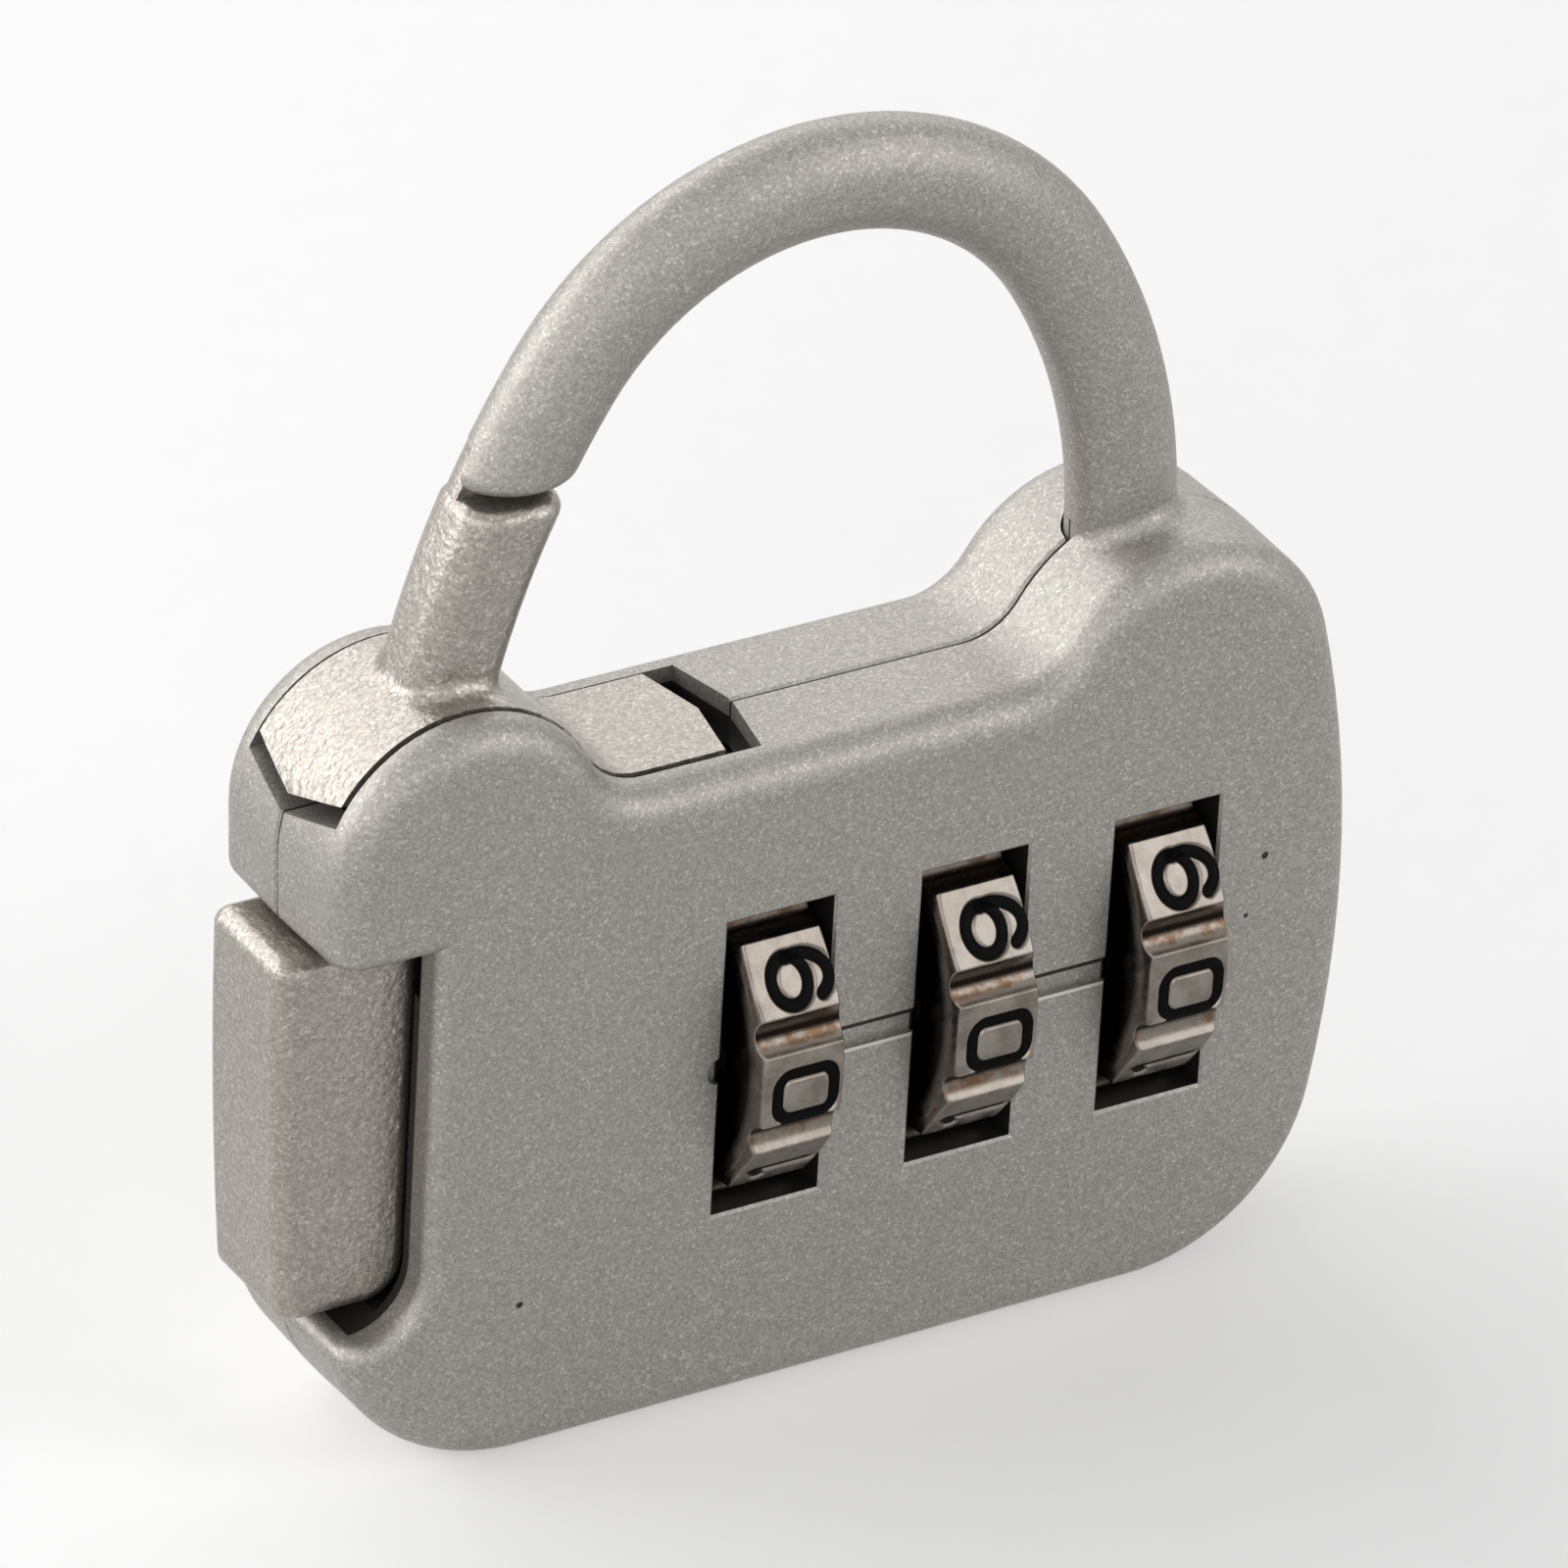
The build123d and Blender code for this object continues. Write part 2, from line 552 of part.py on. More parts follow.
def rooted(half):
    """Fillet round the front of the arch's foot, where it leaves the shoulder."""
    shoulder_top = ARCH_FOOT[1] + ARCH_ROOT

    def at_foot(edge):
        middle = edge @ 0.5
        beside = abs(middle.X - ARCH_FOOT[0]) < ARCH_HALF_WIDTH + NEAR
        in_front = -ARCH_HALF_DEPTH - NEAR < middle.Y < -2 * SEAM_BEVEL
        return beside and in_front and abs(middle.Z - shoulder_top) < ARCH_ROOT / 2

    return fillet([edge for edge in half.edges() if at_foot(edge)], ARCH_FLARE)


def front_housing():
    half = recessed(front_half_blank())
    half = half - mechanism_cavity() - index_marks()
    return rooted(half + arch())


def back_housing():
    half = mirror(recessed(front_half_blank()), about=Plane.XZ)
    return half - mechanism_cavity() - arch_notch()


def wheel_blank():
    """Prism with a flat for each number, its end edges bevelled."""
    pitch = 360 / NUMBERS
    flats = Rot(0, 0, pitch / 2) * RegularPolygon(WHEEL_FLAT_RADIUS, NUMBERS, major_radius=False)
    prism = extrude(Plane.YZ * flats, amount=WHEEL_WIDTH / 2, both=True)
    return chamfer(prism.faces().filter_by(Axis.X).edges(), WHEEL_BEVEL)


def drive_key(side, reach, half_width, half_length):
    """Square key along X, from inside the bore out to a radius, turned to an angle."""
    key = block((-half_length, half_length), (0, reach), (-half_width, half_width))
    return Rot(side, 0, 0) * key


def number_wheel(x):
    """Wheel with a round groove between its flats and ten drive notches in its bore."""
    pitch = 360 / NUMBERS
    groove_centre = WHEEL_FLAT_RADIUS - GROOVE_DEPTH + GROOVE_RADIUS
    cuts = [rod_x(WHEEL_BORE, -WHEEL_WIDTH, WHEEL_WIDTH, 0)]
    for k in range(NUMBERS):
        y, z = polar((0, 0), groove_centre, (k + 0.5) * pitch)
        cuts.append(rod_x(GROOVE_RADIUS, -WHEEL_WIDTH, WHEEL_WIDTH, z, y))
        cuts.append(drive_key(k * pitch, WHEEL_BORE + KEY_HEIGHT, KEY_HALF_WIDTH, WHEEL_WIDTH))
    return Pos(x, 0, AXIS_Z) * (wheel_blank() - cuts)


def code_sleeve(x):
    """Sleeve that a wheel drives by two keys, with a keyed web at its left end."""
    body = rod_x(JOURNAL_RADIUS, SLEEVE_LEFT, SLEEVE_RIGHT, 0)
    body = body + rod_x(WHEEL_BORE - DRIVE_FIT, -SLEEVE_SHOULDER, SLEEVE_SHOULDER, 0)
    reach = WHEEL_BORE + KEY_HEIGHT - DRIVE_FIT
    for turn in (0, 180):
        body = body + drive_key(turn, reach, KEY_HALF_WIDTH - DRIVE_FIT, WHEEL_WIDTH / 2)
    body = body - rod_x(SLEEVE_BORE, SLEEVE_LEFT + WEB_THICKNESS, SLEEVE_RIGHT + 1, 0)
    web = (SLEEVE_LEFT - 1, SLEEVE_LEFT + WEB_THICKNESS + 0.1)
    body = body - rod_x(SPINDLE_RADIUS + SPINDLE_CLEARANCE, *web, 0)
    keyway = LUG_WIDTH / 2 + KEYWAY_CLEARANCE
    body = body - block(web, (-keyway, keyway), (-SLEEVE_BORE, 0))
    return Pos(x, 0, AXIS_Z) * body


def locking_spindle():
    """Rod through the sleeves, with a lug just outside each sleeve's web."""
    rod = rod_x(SPINDLE_RADIUS, STEM_END - SOCKET_DEPTH, BAR_ARM_LEFT + BAR_ARM)
    for x in WHEEL_X:
        right = x + SLEEVE_LEFT - LUG_GAP
        tab = block(
            (right - LUG_THICKNESS, right), (-LUG_WIDTH / 2, LUG_WIDTH / 2), (-CLEAR, 0)
        )
        disc = rod_x(LUG_RADIUS, right - LUG_THICKNESS, right)
        rod = rod + (disc & Pos(0, 0, AXIS_Z) * tab)
    return rod


def button_profile():
    """Face of the button: a crowned outer side and a rounded lower inner corner."""
    lean = LEFT_LEAN / (PIVOT[1] - CORNER_RADIUS)
    outer = [
        (BODY_LEFT + lean * (PIVOT[1] - z) - BUTTON_PROUD - crown, z)
        for z, crown in ((BUTTON_TOP, 0.0), (AXIS_Z, 0.12), (BUTTON_BOTTOM, 0.0))
    ]
    edges = [
        ThreePointArc(*outer),
        Line(outer[2], (BUTTON_INNER, BUTTON_BOTTOM)),
        Line((BUTTON_INNER, BUTTON_BOTTOM), (BUTTON_INNER, BUTTON_TOP)),
        Line((BUTTON_INNER, BUTTON_TOP), outer[0]),
    ]
    face = make_face(Wire(edges))
    inner = face.vertices().sort_by(Axis.X)[-2:]
    return fillet(inner.sort_by(Axis.Y)[0], BUTTON_CORNER)


def release_button():
    """Side button with its stem, which carries the spindle."""
    body = slab(button_profile(), -BUTTON_THICKNESS / 2, BUTTON_THICKNESS / 2)
    rims = body.faces().filter_by(Axis.Y).edges()
    outer_corners = body.edges().filter_by(Axis.Y).sort_by(Axis.X)[:2]
    body = fillet(rims + outer_corners, BUTTON_ROUND)
    stem = block(
        (BUTTON_INNER - 0.5, STEM_END),
        (-STEM_HALF_WIDTH, STEM_HALF_WIDTH),
        (AXIS_Z - STEM_HALF_HEIGHT, AXIS_Z + STEM_HALF_HEIGHT),
    )
    socket = rod_x(SPINDLE_RADIUS + PRESS_GAP, STEM_END - SOCKET_DEPTH, STEM_END + 1)
    return body + stem - socket


def latch_bar():
    """Bar over the wheels, carried by the spindle's right end, with a ramp under the tongue."""
    tip = (TONGUE_END + TONGUE_POINT + 0.2, BAR_TOP)
    ramp = (tip[0] - BAR_RAMP * (BAR_TOP - BAR_BOTTOM), BAR_BOTTOM)
    right = BAR_ARM_LEFT + BAR_ARM
    arm_bottom = AXIS_Z - BAR_ARM_REACH
    profile = polygon(
        tip,
        ramp,
        (BAR_ARM_LEFT, BAR_BOTTOM),
        (BAR_ARM_LEFT, arm_bottom),
        (right, arm_bottom),
        (right, BAR_TOP - BAR_BEVEL),
        (right - BAR_BEVEL, BAR_TOP),
    )
    bar = slab(profile, -BAR_HALF_WIDTH, BAR_HALF_WIDTH)
    bar = bar - rod_x(CLIP_RADIUS + 0.05, right - CLIP_SINK, right + 1)
    return bar - rod_x(SPINDLE_RADIUS + PRESS_GAP, BAR_ARM_LEFT - 1, right + 1)


def spindle_clip():
    """Open ring pressed on the spindle's right end, sunk into the latch bar."""
    left = BAR_ARM_LEFT + BAR_ARM - CLIP_SINK + 0.02
    ring = rod_x(CLIP_RADIUS, left, left + CLIP_THICKNESS)
    ring = ring - rod_x(SPINDLE_RADIUS + PRESS_GAP, left - 1, left + 1)
    mouth = block((left - 1, left + 1), (-CLIP_MOUTH, CLIP_MOUTH), (AXIS_Z, AXIS_Z + CLEAR))
    return ring - mouth


def gate_profile():
    """Hub, tongue and pivot boss of the gate, flush with the body's outline."""
    left = BODY_LEFT - 1
    top = SADDLE_HEIGHT + CLEAR
    hub_end = PIVOT[1] + HUB_END_RISE
    reach = polygon(
        (left, hub_end),
        (PIVOT[0] - HUB_BOSS + 0.3, hub_end),
        (PIVOT[0] - HUB_BOSS + 0.3, TONGUE_UNDER),
        (TONGUE_END, TONGUE_UNDER),
        (TONGUE_END, top),
        (left, top),
    )
    return body_outline() & reach


def gate_points():
    """Pointed middles of the tongue's end and of the hub's left end."""
    half = GATE_THICKNESS / 2
    plan = polygon((TONGUE_END - 0.1, -half), (TONGUE_END, -half),
                   (TONGUE_END + TONGUE_POINT, 0), (TONGUE_END, half), (TONGUE_END - 0.1, half))
    tongue = Pos(0, 0, TONGUE_UNDER) * extrude(plan, amount=TONGUE_DEPTH)
    hub_end = PIVOT[1] + HUB_END_RISE
    side = polygon((-half, hub_end + 0.1), (-half, hub_end), (0, hub_end - HUB_END_POINT),
                   (half, hub_end), (half, hub_end + 0.1))
    wall = PIVOT[0] - HUB_BOSS - HUB_WALL
    prism = Pos(BODY_LEFT - 1, 0, 0) * extrude(Plane.YZ * side, amount=wall - BODY_LEFT + 1)
    return tongue + (prism & slab(body_outline(), -half, half))


def arm_line():
    """The arch's line carried on from above the lap into the hub."""
    place, direction = lap_frame()
    radius = ARCH_GATE_SIDE[0]
    centre = (place.X - radius * direction.Y, place.Y + radius * direction.X)
    start = heading(centre, (place.X, place.Y)) - LAP_OVERRUN
    return CenterArc(centre, radius, start, LAP_OVERRUN + ARM_ARC)


def arm_bar(inset=0.0):
    """Round-cornered bar on the arch's line, from above the lap into the hub."""
    line = arm_line()
    way = line % 0
    section = RectangleRounded(
        2 * (ARM_HALF_WIDTH - inset), 2 * (ARM_HALF_DEPTH - inset), ARM_CORNER - inset
    )
    frame = Plane(
        origin=((line @ 0).X, 0, (line @ 0).Y), x_dir=(-way.Y, 0, way.X), z_dir=(way.X, 0, way.Y)
    )
    return sweep(frame * section, path=Plane.XZ * Wire([line]))


def gate_arm():
    """Bar from the hub to the lap with a rounded end, and a lip behind the arch's end."""
    bar = arm_bar() - lap_block((-LAP_GAP, CLEAR), (-HALF, HALF))
    bar = fillet(lap_end(bar).edges(), LAP_ROUND)
    lip = arm_bar(LIP_INSET) - lap_block((LAP_HEIGHT, CLEAR), (-HALF, HALF))
    lip = lip - lap_block((-CLEAR, CLEAR), (-HALF, LAP_FACE_GAP / 2))
    return bar + (lip - lap_block((-CLEAR, -LIP_ROOT), (-HALF, HALF)))


def flared(lever):
    """Fillet round the foot of the arm, where it leaves the hub's round back."""
    foot = arm_line() @ 1

    def at_foot(edge):
        middle = edge @ 0.5
        on_hub = abs(math.dist((middle.X, middle.Z), PIVOT) - LEFT_SHOULDER_RADIUS) < NEAR
        beside = abs(middle.X - foot.X) < ARM_HALF_WIDTH + ARM_FLARE
        return on_hub and beside and abs(middle.Y) < ARM_HALF_DEPTH + NEAR

    return fillet([edge for edge in lever.edges() if at_foot(edge)], ARM_FLARE)


def gate_lever():
    """Gate casting: hub, tongue and arm, bored for its pin and hollowed for its spring."""
    half = GATE_THICKNESS / 2
    coil_length = GATE_COIL_PITCH * GATE_COIL_QUARTERS / 4 + GATE_WIRE
    spring_room = half - GATE_COIL_SET - coil_length - 0.1
    lever = slab(gate_profile(), -half, half) + gate_points()
    lever = lever + rod_y(HUB_BOSS, -half, spring_room, PIVOT)
    lever = flared(lever + gate_arm())
    lever = lever - rod_y(PIN_RADIUS + PIN_CLEARANCE, -half - 1, half + 1, PIVOT)
    coil_room = GATE_COIL_RADIUS + GATE_WIRE / 2 + 0.2
    leg_room = block(
        (PIVOT[0] - HUB_BOSS, PIVOT[0] - 0.3),
        (spring_room, half + 1),
        (TONGUE_UNDER - 1, PIVOT[1] + HUB_END_RISE - 0.4),
    )
    return lever - rod_y(coil_room, spring_room, half + 1, PIVOT) - leg_room


def gate_pivot_pin():
    return rod_y(PIN_RADIUS, -INSIDE - PIN_SEAT, INSIDE + PIN_SEAT, PIVOT)


def housing_drive_pins():
    """Pins driven into both halves."""
    pins = [
        rod_y(DOWEL_RADIUS, -DOWEL_HALF_LENGTH, DOWEL_HALF_LENGTH, at) for at in dowel_places()
    ]
    return Compound(children=[pin.solid() for pin in pins])


def plate(left):
    """Steel plate that stands in slots of both halves, with a hole for the spindle."""
    body = block(
        (left, left + PLATE_THICKNESS),
        (-PLATE_HALF_WIDTH, PLATE_HALF_WIDTH),
        (AXIS_Z - PLATE_HALF_HEIGHT, AXIS_Z + PLATE_HALF_HEIGHT),
    )
    return body - rod_x(SPINDLE_RADIUS + SPINDLE_CLEARANCE, left - 1, left + 1)


def sleeve_spring_washer():
    """Domed spring washer that keeps the sleeves together."""
    inner = SPINDLE_RADIUS + SPINDLE_CLEARANCE + 0.1
    outer = JOURNAL_RADIUS - 0.05
    sheet = 0.15
    rise = SPRING_WASHER - sheet
    dome = polygon((inner, rise), (inner, rise + sheet), (outer, sheet), (outer, 0))
    ring = revolve(Plane.XZ * dome, axis=Axis.Z)
    left = LAST_SLEEVE_END + PLATE_CLEARANCE
    return Pos(left, 0, AXIS_Z) * Rot(0, 90, 0) * ring


def coil_points(radius, pitch, quarters, start_angle):
    """Ends and directions of each quarter turn of a coil about Z."""
    knots = []
    for k in range(quarters + 1):
        turn = math.radians(start_angle + 90 * k)
        place = Vector(radius * math.cos(turn), radius * math.sin(turn), pitch * k / 4)
        along = Vector(-radius * math.sin(turn), radius * math.cos(turn), pitch / (2 * math.pi))
        knots.append((place, along.normalized()))
    return knots


def biarc(start, start_way, end, end_way):
    """Two arcs, tangent to each other and to the given directions."""
    chord = end - start
    mean = start_way + end_way
    slack = 2 * (1 - start_way.dot(end_way))
    reach = (-chord.dot(mean) + math.sqrt(chord.dot(mean) ** 2 + slack * chord.dot(chord))) / slack
    middle = (start + start_way * reach + end - end_way * reach) * 0.5
    first = Edge.make_tangent_arc(start, start_way, middle)
    second = Edge.make_tangent_arc(end, end_way * -1, middle)
    return [first, second.reversed()]


def least_gap(points, wire, quarters_apart):
    """Least distance between points of a coil at least that many quarter turns apart, less the wire."""
    gaps = [
        (points[i] - points[j]).length
        for i in range(len(points))
        for j in range(i + quarters_apart, len(points))
    ]
    return min(gaps) - wire


def coil(name, radius, wire, pitch, quarters, start_angle, legs=(0.0, 0.0)):
    """Wire wound about Z, with a straight leg at each end; it has eight sides to stay light."""
    knots = coil_points(radius, pitch, quarters, start_angle)
    first, last = knots[0], knots[-1]
    edges = []
    if legs[0]:
        edges.append(Edge.make_line(first[0] - first[1] * legs[0], first[0]))
    for (start, start_way), (end, end_way) in zip(knots, knots[1:]):
        edges.extend(biarc(start, start_way, end, end_way))
    if legs[1]:
        edges.append(Edge.make_line(last[0], last[0] + last[1] * legs[1]))
    begin = first[0] - first[1] * legs[0]
    section = Plane(origin=begin, z_dir=first[1]) * RegularPolygon(wire / 2, WIRE_SIDES)
    gap = least_gap([place for place, _ in knots], wire, 4)
    print(f"{name}: least gap between turns {gap:.2f} mm")
    return sweep(section, path=Wire(edges))


def return_spring():
    """Compression spring round the spindle, between the button's stem and its seat plate."""
    pitch = (RETURN_LENGTH - RETURN_WIRE) / RETURN_TURNS
    spring = coil("return_spring", RETURN_COIL_RADIUS, RETURN_WIRE, pitch, 4 * RETURN_TURNS, 0)
    start = STEM_END + 0.05 + RETURN_WIRE / 2
    return Pos(start, 0, AXIS_Z) * Rot(0, 90, 0) * spring


def gate_spring():
    """Torsion spring round the pivot pin, with one leg under the tongue and one on the left wall."""
    spring = coil(
        "gate_spring",
        GATE_COIL_RADIUS,
        GATE_WIRE,
        GATE_COIL_PITCH,
        GATE_COIL_QUARTERS,
        GATE_COIL_START,
        GATE_LEGS,
    )
    back = GATE_THICKNESS / 2 - GATE_WIRE / 2 - GATE_COIL_SET
    return Pos(PIVOT[0], back, PIVOT[1]) * Rot(90, 0, 0) * spring


def detent_comb():
    """Spring steel comb under the wheels: a spine and one finger for each wheel."""
    floor = BOTTOM_WALL + COMB_THICKNESS / 2 + 0.05
    tip = AXIS_Z - WHEEL_FLAT_RADIUS + GROOVE_DEPTH - COMB_THICKNESS / 2 - 0.16
    back = INSIDE - 0.15
    run = Polyline(
        (back, floor), (1.25, floor), (0.45, tip - 0.25), (0.18, tip), (-0.18, tip),
        (-0.45, tip - 0.25), (-1.1, floor + 0.35),
    )
    section = trace(run, COMB_THICKNESS)
    fingers = [
        Pos(x - COMB_FINGER / 2, 0, 0) * extrude(Plane.YZ * section, amount=COMB_FINGER)
        for x in WHEEL_X
    ]
    spine = block(
        (WHEEL_X[0] - COMB_FINGER / 2, WHEEL_X[-1] + COMB_FINGER / 2),
        (back - COMB_SPINE, back),
        (floor - COMB_THICKNESS / 2, floor + COMB_THICKNESS / 2),
    )
    return spine + fingers


def build():
    """Every sub-part by its node name."""
    parts = {
        "front_housing": front_housing(),
        "back_housing": back_housing(),
        "gate_lever": gate_lever(),
        "gate_pivot_pin": gate_pivot_pin(),
        "gate_spring": gate_spring(),
        "release_button": release_button(),
        "return_spring": return_spring(),
        "return_spring_seat": plate(SPRING_SEAT),
        "locking_spindle": locking_spindle(),
        "latch_bar": latch_bar(),
        "spindle_clip": spindle_clip(),
        "sleeve_spring_washer": sleeve_spring_washer(),
        "sleeve_thrust_plate": plate(THRUST_PLATE),
        "detent_comb": detent_comb(),
        "housing_drive_pins": housing_drive_pins(),
    }
    for number, x in enumerate(WHEEL_X, start=1):
        parts[f"number_wheel_{number}"] = number_wheel(x)
        parts[f"code_sleeve_{number}"] = code_sleeve(x)
    return parts


os.makedirs("parts", exist_ok=True)
for node, solid in build().items():
    export_step(solid, f"parts/{node}.step")
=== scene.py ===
import json
import math

import bpy
import numpy as np
from mathutils import Matrix, Vector


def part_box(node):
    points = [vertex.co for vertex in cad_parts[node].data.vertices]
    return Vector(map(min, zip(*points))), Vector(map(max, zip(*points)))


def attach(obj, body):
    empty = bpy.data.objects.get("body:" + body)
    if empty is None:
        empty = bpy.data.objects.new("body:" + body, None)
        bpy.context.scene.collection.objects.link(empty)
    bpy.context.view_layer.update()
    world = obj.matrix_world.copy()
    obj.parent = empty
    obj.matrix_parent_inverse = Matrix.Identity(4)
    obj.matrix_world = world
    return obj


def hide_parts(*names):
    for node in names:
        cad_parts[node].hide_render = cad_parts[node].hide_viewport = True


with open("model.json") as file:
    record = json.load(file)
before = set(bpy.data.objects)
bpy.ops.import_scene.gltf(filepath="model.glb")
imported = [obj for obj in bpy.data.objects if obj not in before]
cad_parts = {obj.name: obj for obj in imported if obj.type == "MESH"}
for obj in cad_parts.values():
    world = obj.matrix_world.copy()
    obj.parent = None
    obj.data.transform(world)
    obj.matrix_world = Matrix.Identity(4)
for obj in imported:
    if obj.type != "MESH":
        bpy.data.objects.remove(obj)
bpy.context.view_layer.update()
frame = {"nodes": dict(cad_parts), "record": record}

MM = 0.001                      # metres; sizes below are in millimetres, turns in degrees

# ---------------------------------------------------------------- camera
AZIMUTH = 32.9                  # camera to the left of the front
ELEVATION = 31.15
ROLL = 3.73
DISTANCE = 400.0
AIM = (3.8, 0.0, 10.9)          # the middle wheel's centre
AIM_OFFSET = (-3.28, 4.49)      # in the picture's plane, from there to the picture's centre
FOCAL = 331.2                   # on the sensor below
SENSOR = 36.0
NEAR_CLIP = 10.0

# ---------------------------------------------------------------- light and floor
AMBIENT = 0.10                  # plain level of the surroundings as light
FLOOR_GLOW = 0.31               # floor's own white, to the eye and in reflections
FLOOR_HALF = 1500.0
LAMPS = {                       # place, size and power (W) of each soft box
    "soft_box_back": ((-60, 420, 330), (420, 300), 0.76),
    "soft_box_left_back": ((-380, 260, 200), (350, 350), 1.15),
    "soft_box_right_back": ((320, 330, 320), (350, 350), 0.34),
    "soft_box_front_right": ((320, -340, 250), (300, 300), 0.52),
    "soft_box_front_left": ((-300, -380, 260), (300, 300), 0.36),
    "soft_box_left": ((-420, -60, 260), (300, 300), 0.30),
}

# ---------------------------------------------------------------- wheels
WHEEL_MIDDLE = 3.8              # middle wheel, from the body's middle
WHEEL_PITCH = 6.2
WHEEL_AXIS = 10.9               # above the bottom
WHEEL_FLAT = 5.12               # axis to a numbered flat
WHEEL_HALF_WIDTH = 1.35
WHEEL_BORE = 2.6
NOTCH_REACH = 2.9               # axis to the bottom of a drive notch
NOTCH_TURN = 6.3                # half of a drive notch
GROOVE_RADIUS = 0.55
GROOVE_DEPTH = 0.27             # below a flat
RIM_WIDTH = 0.26                # rounding from the flats down to the wheel's sides
RIM_RISE = 0.50                 # its height above the grooves' bottom
EDGE_SOFTNESS = 0.03            # of the edges between flats, grooves and rims
TURN_STEPS = 1080               # grid steps round a wheel: 0.03 mm, for clean engraved strokes
FACE_STEPS = 60                 # columns across its face
RIM_STEPS = 9                   # columns across each rim
SIDE_SHARES = (1.0, 0.8, 0.55, 0.35, 0.2, 0.1, 0.04)  # columns on a side, from bore to outside

# ---------------------------------------------------------------- numbers
NUMBER_STEP = 36.0              # between neighbouring flats
NUMBER_REACH = 14.0             # from a flat's middle; no number goes further
NUMBER_WIDTH = 1.40             # measured on the strokes' centre lines
NUMBER_HEIGHT = 1.78
NUMBER_SHIFT = {                # to the right and up, of a number on its flat
    9: (-0.16, -0.26),
    "others": (-0.29, -0.12),
}
STROKE = 0.25                   # flat bottom of an engraved stroke
WALL = 0.11                     # slope on each side of it
ENGRAVING = 0.13                # depth
ENGRAVING_STEP = 0.03           # along a centre line
ENAMEL_DEPTH = 0.075            # enamel's surface under the flat
ENAMEL_RISE = 0.01              # of its flat top; its edges dip half as far
ENAMEL_SHOULDER = 0.12          # share of its half width that falls to the edge
ENAMEL_STEP = 0.05              # along a centre line

# ---------------------------------------------------------------- lacquer
METAL_SHARE = 0.8               # how much of the lacquer's look comes from its metal flakes
BODY_TONES = ("#95918c", "#ada9a3")
CASTING_TONES = ("#948e87", "#b0aaa2")
PAINTED_FLAKE_GLINT = "#c2beb8"             # painted glint: lighter colour of the few flakes that lie flat
TILTED_FLAKES = 0.90            # share of the others
# painted highlight: the light that the index marks' lower edge catches
PAINTED_HIGHLIGHT = "#dcd8d2"
# dark dirt in the seam and the dust specks, and painted shadow under the index marks' upper edge
DIRT_AND_PAINTED_SHADOW = "#3a3532"
# near-black painted shade for the rooms inside and the windows' walls
PAINTED_INSIDE_SHADE = "#1a1817"
ROOMS = ((-14.9, -2.43, 4.0), (14.7, 2.43, 19.8))    # painted shade inside, low and high corner
SHADED_WINDOW = (1.76, 3.41, 4.78)  # painted shade round each wheel: half width, depth and height
SEAM = ((-20.0, -0.045, 0.0), (20.0, 0.045, 23.4))   # ends where the arch grows out of the body
INDEX_LEFT = WHEEL_MIDDLE - WHEEL_PITCH
INDEX_RIGHT = WHEEL_MIDDLE + WHEEL_PITCH
# strip along the index marks' lower edge that gets the painted highlight
PAINTED_HIGHLIGHT_EDGE = ((INDEX_LEFT, -3.7, 10.415), (INDEX_RIGHT, -3.25, 10.525))
# strip under the index marks' upper edge that gets painted shadow
PAINTED_SHADOW_EDGE = ((INDEX_LEFT, -3.7, 11.035), (INDEX_RIGHT, -3.25, 11.305))
DUST_SPECKS = (                 # place and radius of dust caught in the lacquer
    ((13.31, -3.5, 13.26), 0.11),
    ((12.82, -3.5, 11.43), 0.08),
    ((-10.13, -3.5, 5.02), 0.10),
)

# ---------------------------------------------------------------- nickel
NICKEL_TONES = ("#787169", "#938c85")
BROWN_STAIN = "#6b5543"
# painted shade on the upper slope of each groove
PAINTED_GROOVE_SHADE = "#1c1613"
# near-black painted shade on the wheels' sides towards the axle
PAINTED_SIDE_SHADE = "#100e0d"
FACE_MARGIN = 0.02              # the stains and the painted groove shade end this far from the wheel's sides
GROOVE_SHADE_SPAN = (-1.5, 0.3, 1.8, 4.6)  # from a groove's middle: starts, full, full, ends
STAIN_AND_SHADE_DEPTHS = (0.02, 0.16)     # under the flat: the brown stains and the painted groove shade start and are full
SIDE_SHADE_DEPTHS = (0.45, 0.75)    # under the flat: the painted shade on the sides starts and is full

# sockets of the Mix node in its colour mode
MIX_SHARE, MIX_UNDER, MIX_OVER, MIX_COLOUR = 0, 6, 7, 2


# ================================================================ small helpers
def linear(colour):
    """sRGB hex to linear RGBA."""
    values = np.array([int(colour[i : i + 2], 16) for i in (1, 3, 5)]) / 255.0
    lin = np.where(values <= 0.04045, values / 12.92, ((values + 0.055) / 1.055) ** 2.4)
    return (*(float(v) for v in lin), 1.0)


def per_mm(size):
    """Texture scale whose pattern repeats about once in the given number of millimetres."""
    return 1.0 / (size * MM)


def add(tree, kind, inputs=None, ramp=(), **settings):
    """Add a node with its settings.

    An input is a value, or a (node, output) pair to link. A colour ramp's stops are (place, hex)
    pairs in order.
    """
    node = tree.nodes.new(kind)
    for name, value in settings.items():
        setattr(node, name, value)
    for name, value in (inputs or {}).items():
        if isinstance(value, tuple) and isinstance(value[0], bpy.types.Node):
            tree.links.new(value[0].outputs[value[1]], node.inputs[name])
        else:
            node.inputs[name].default_value = value
    if ramp:
        stops = node.color_ramp.elements
        stops[0].position, stops[1].position = ramp[0][0], ramp[-1][0]
        stops[0].color, stops[1].color = linear(ramp[0][1]), linear(ramp[-1][1])
        for place, colour in ramp[1:-1]:
            stops.new(place).color = linear(colour)
    return node


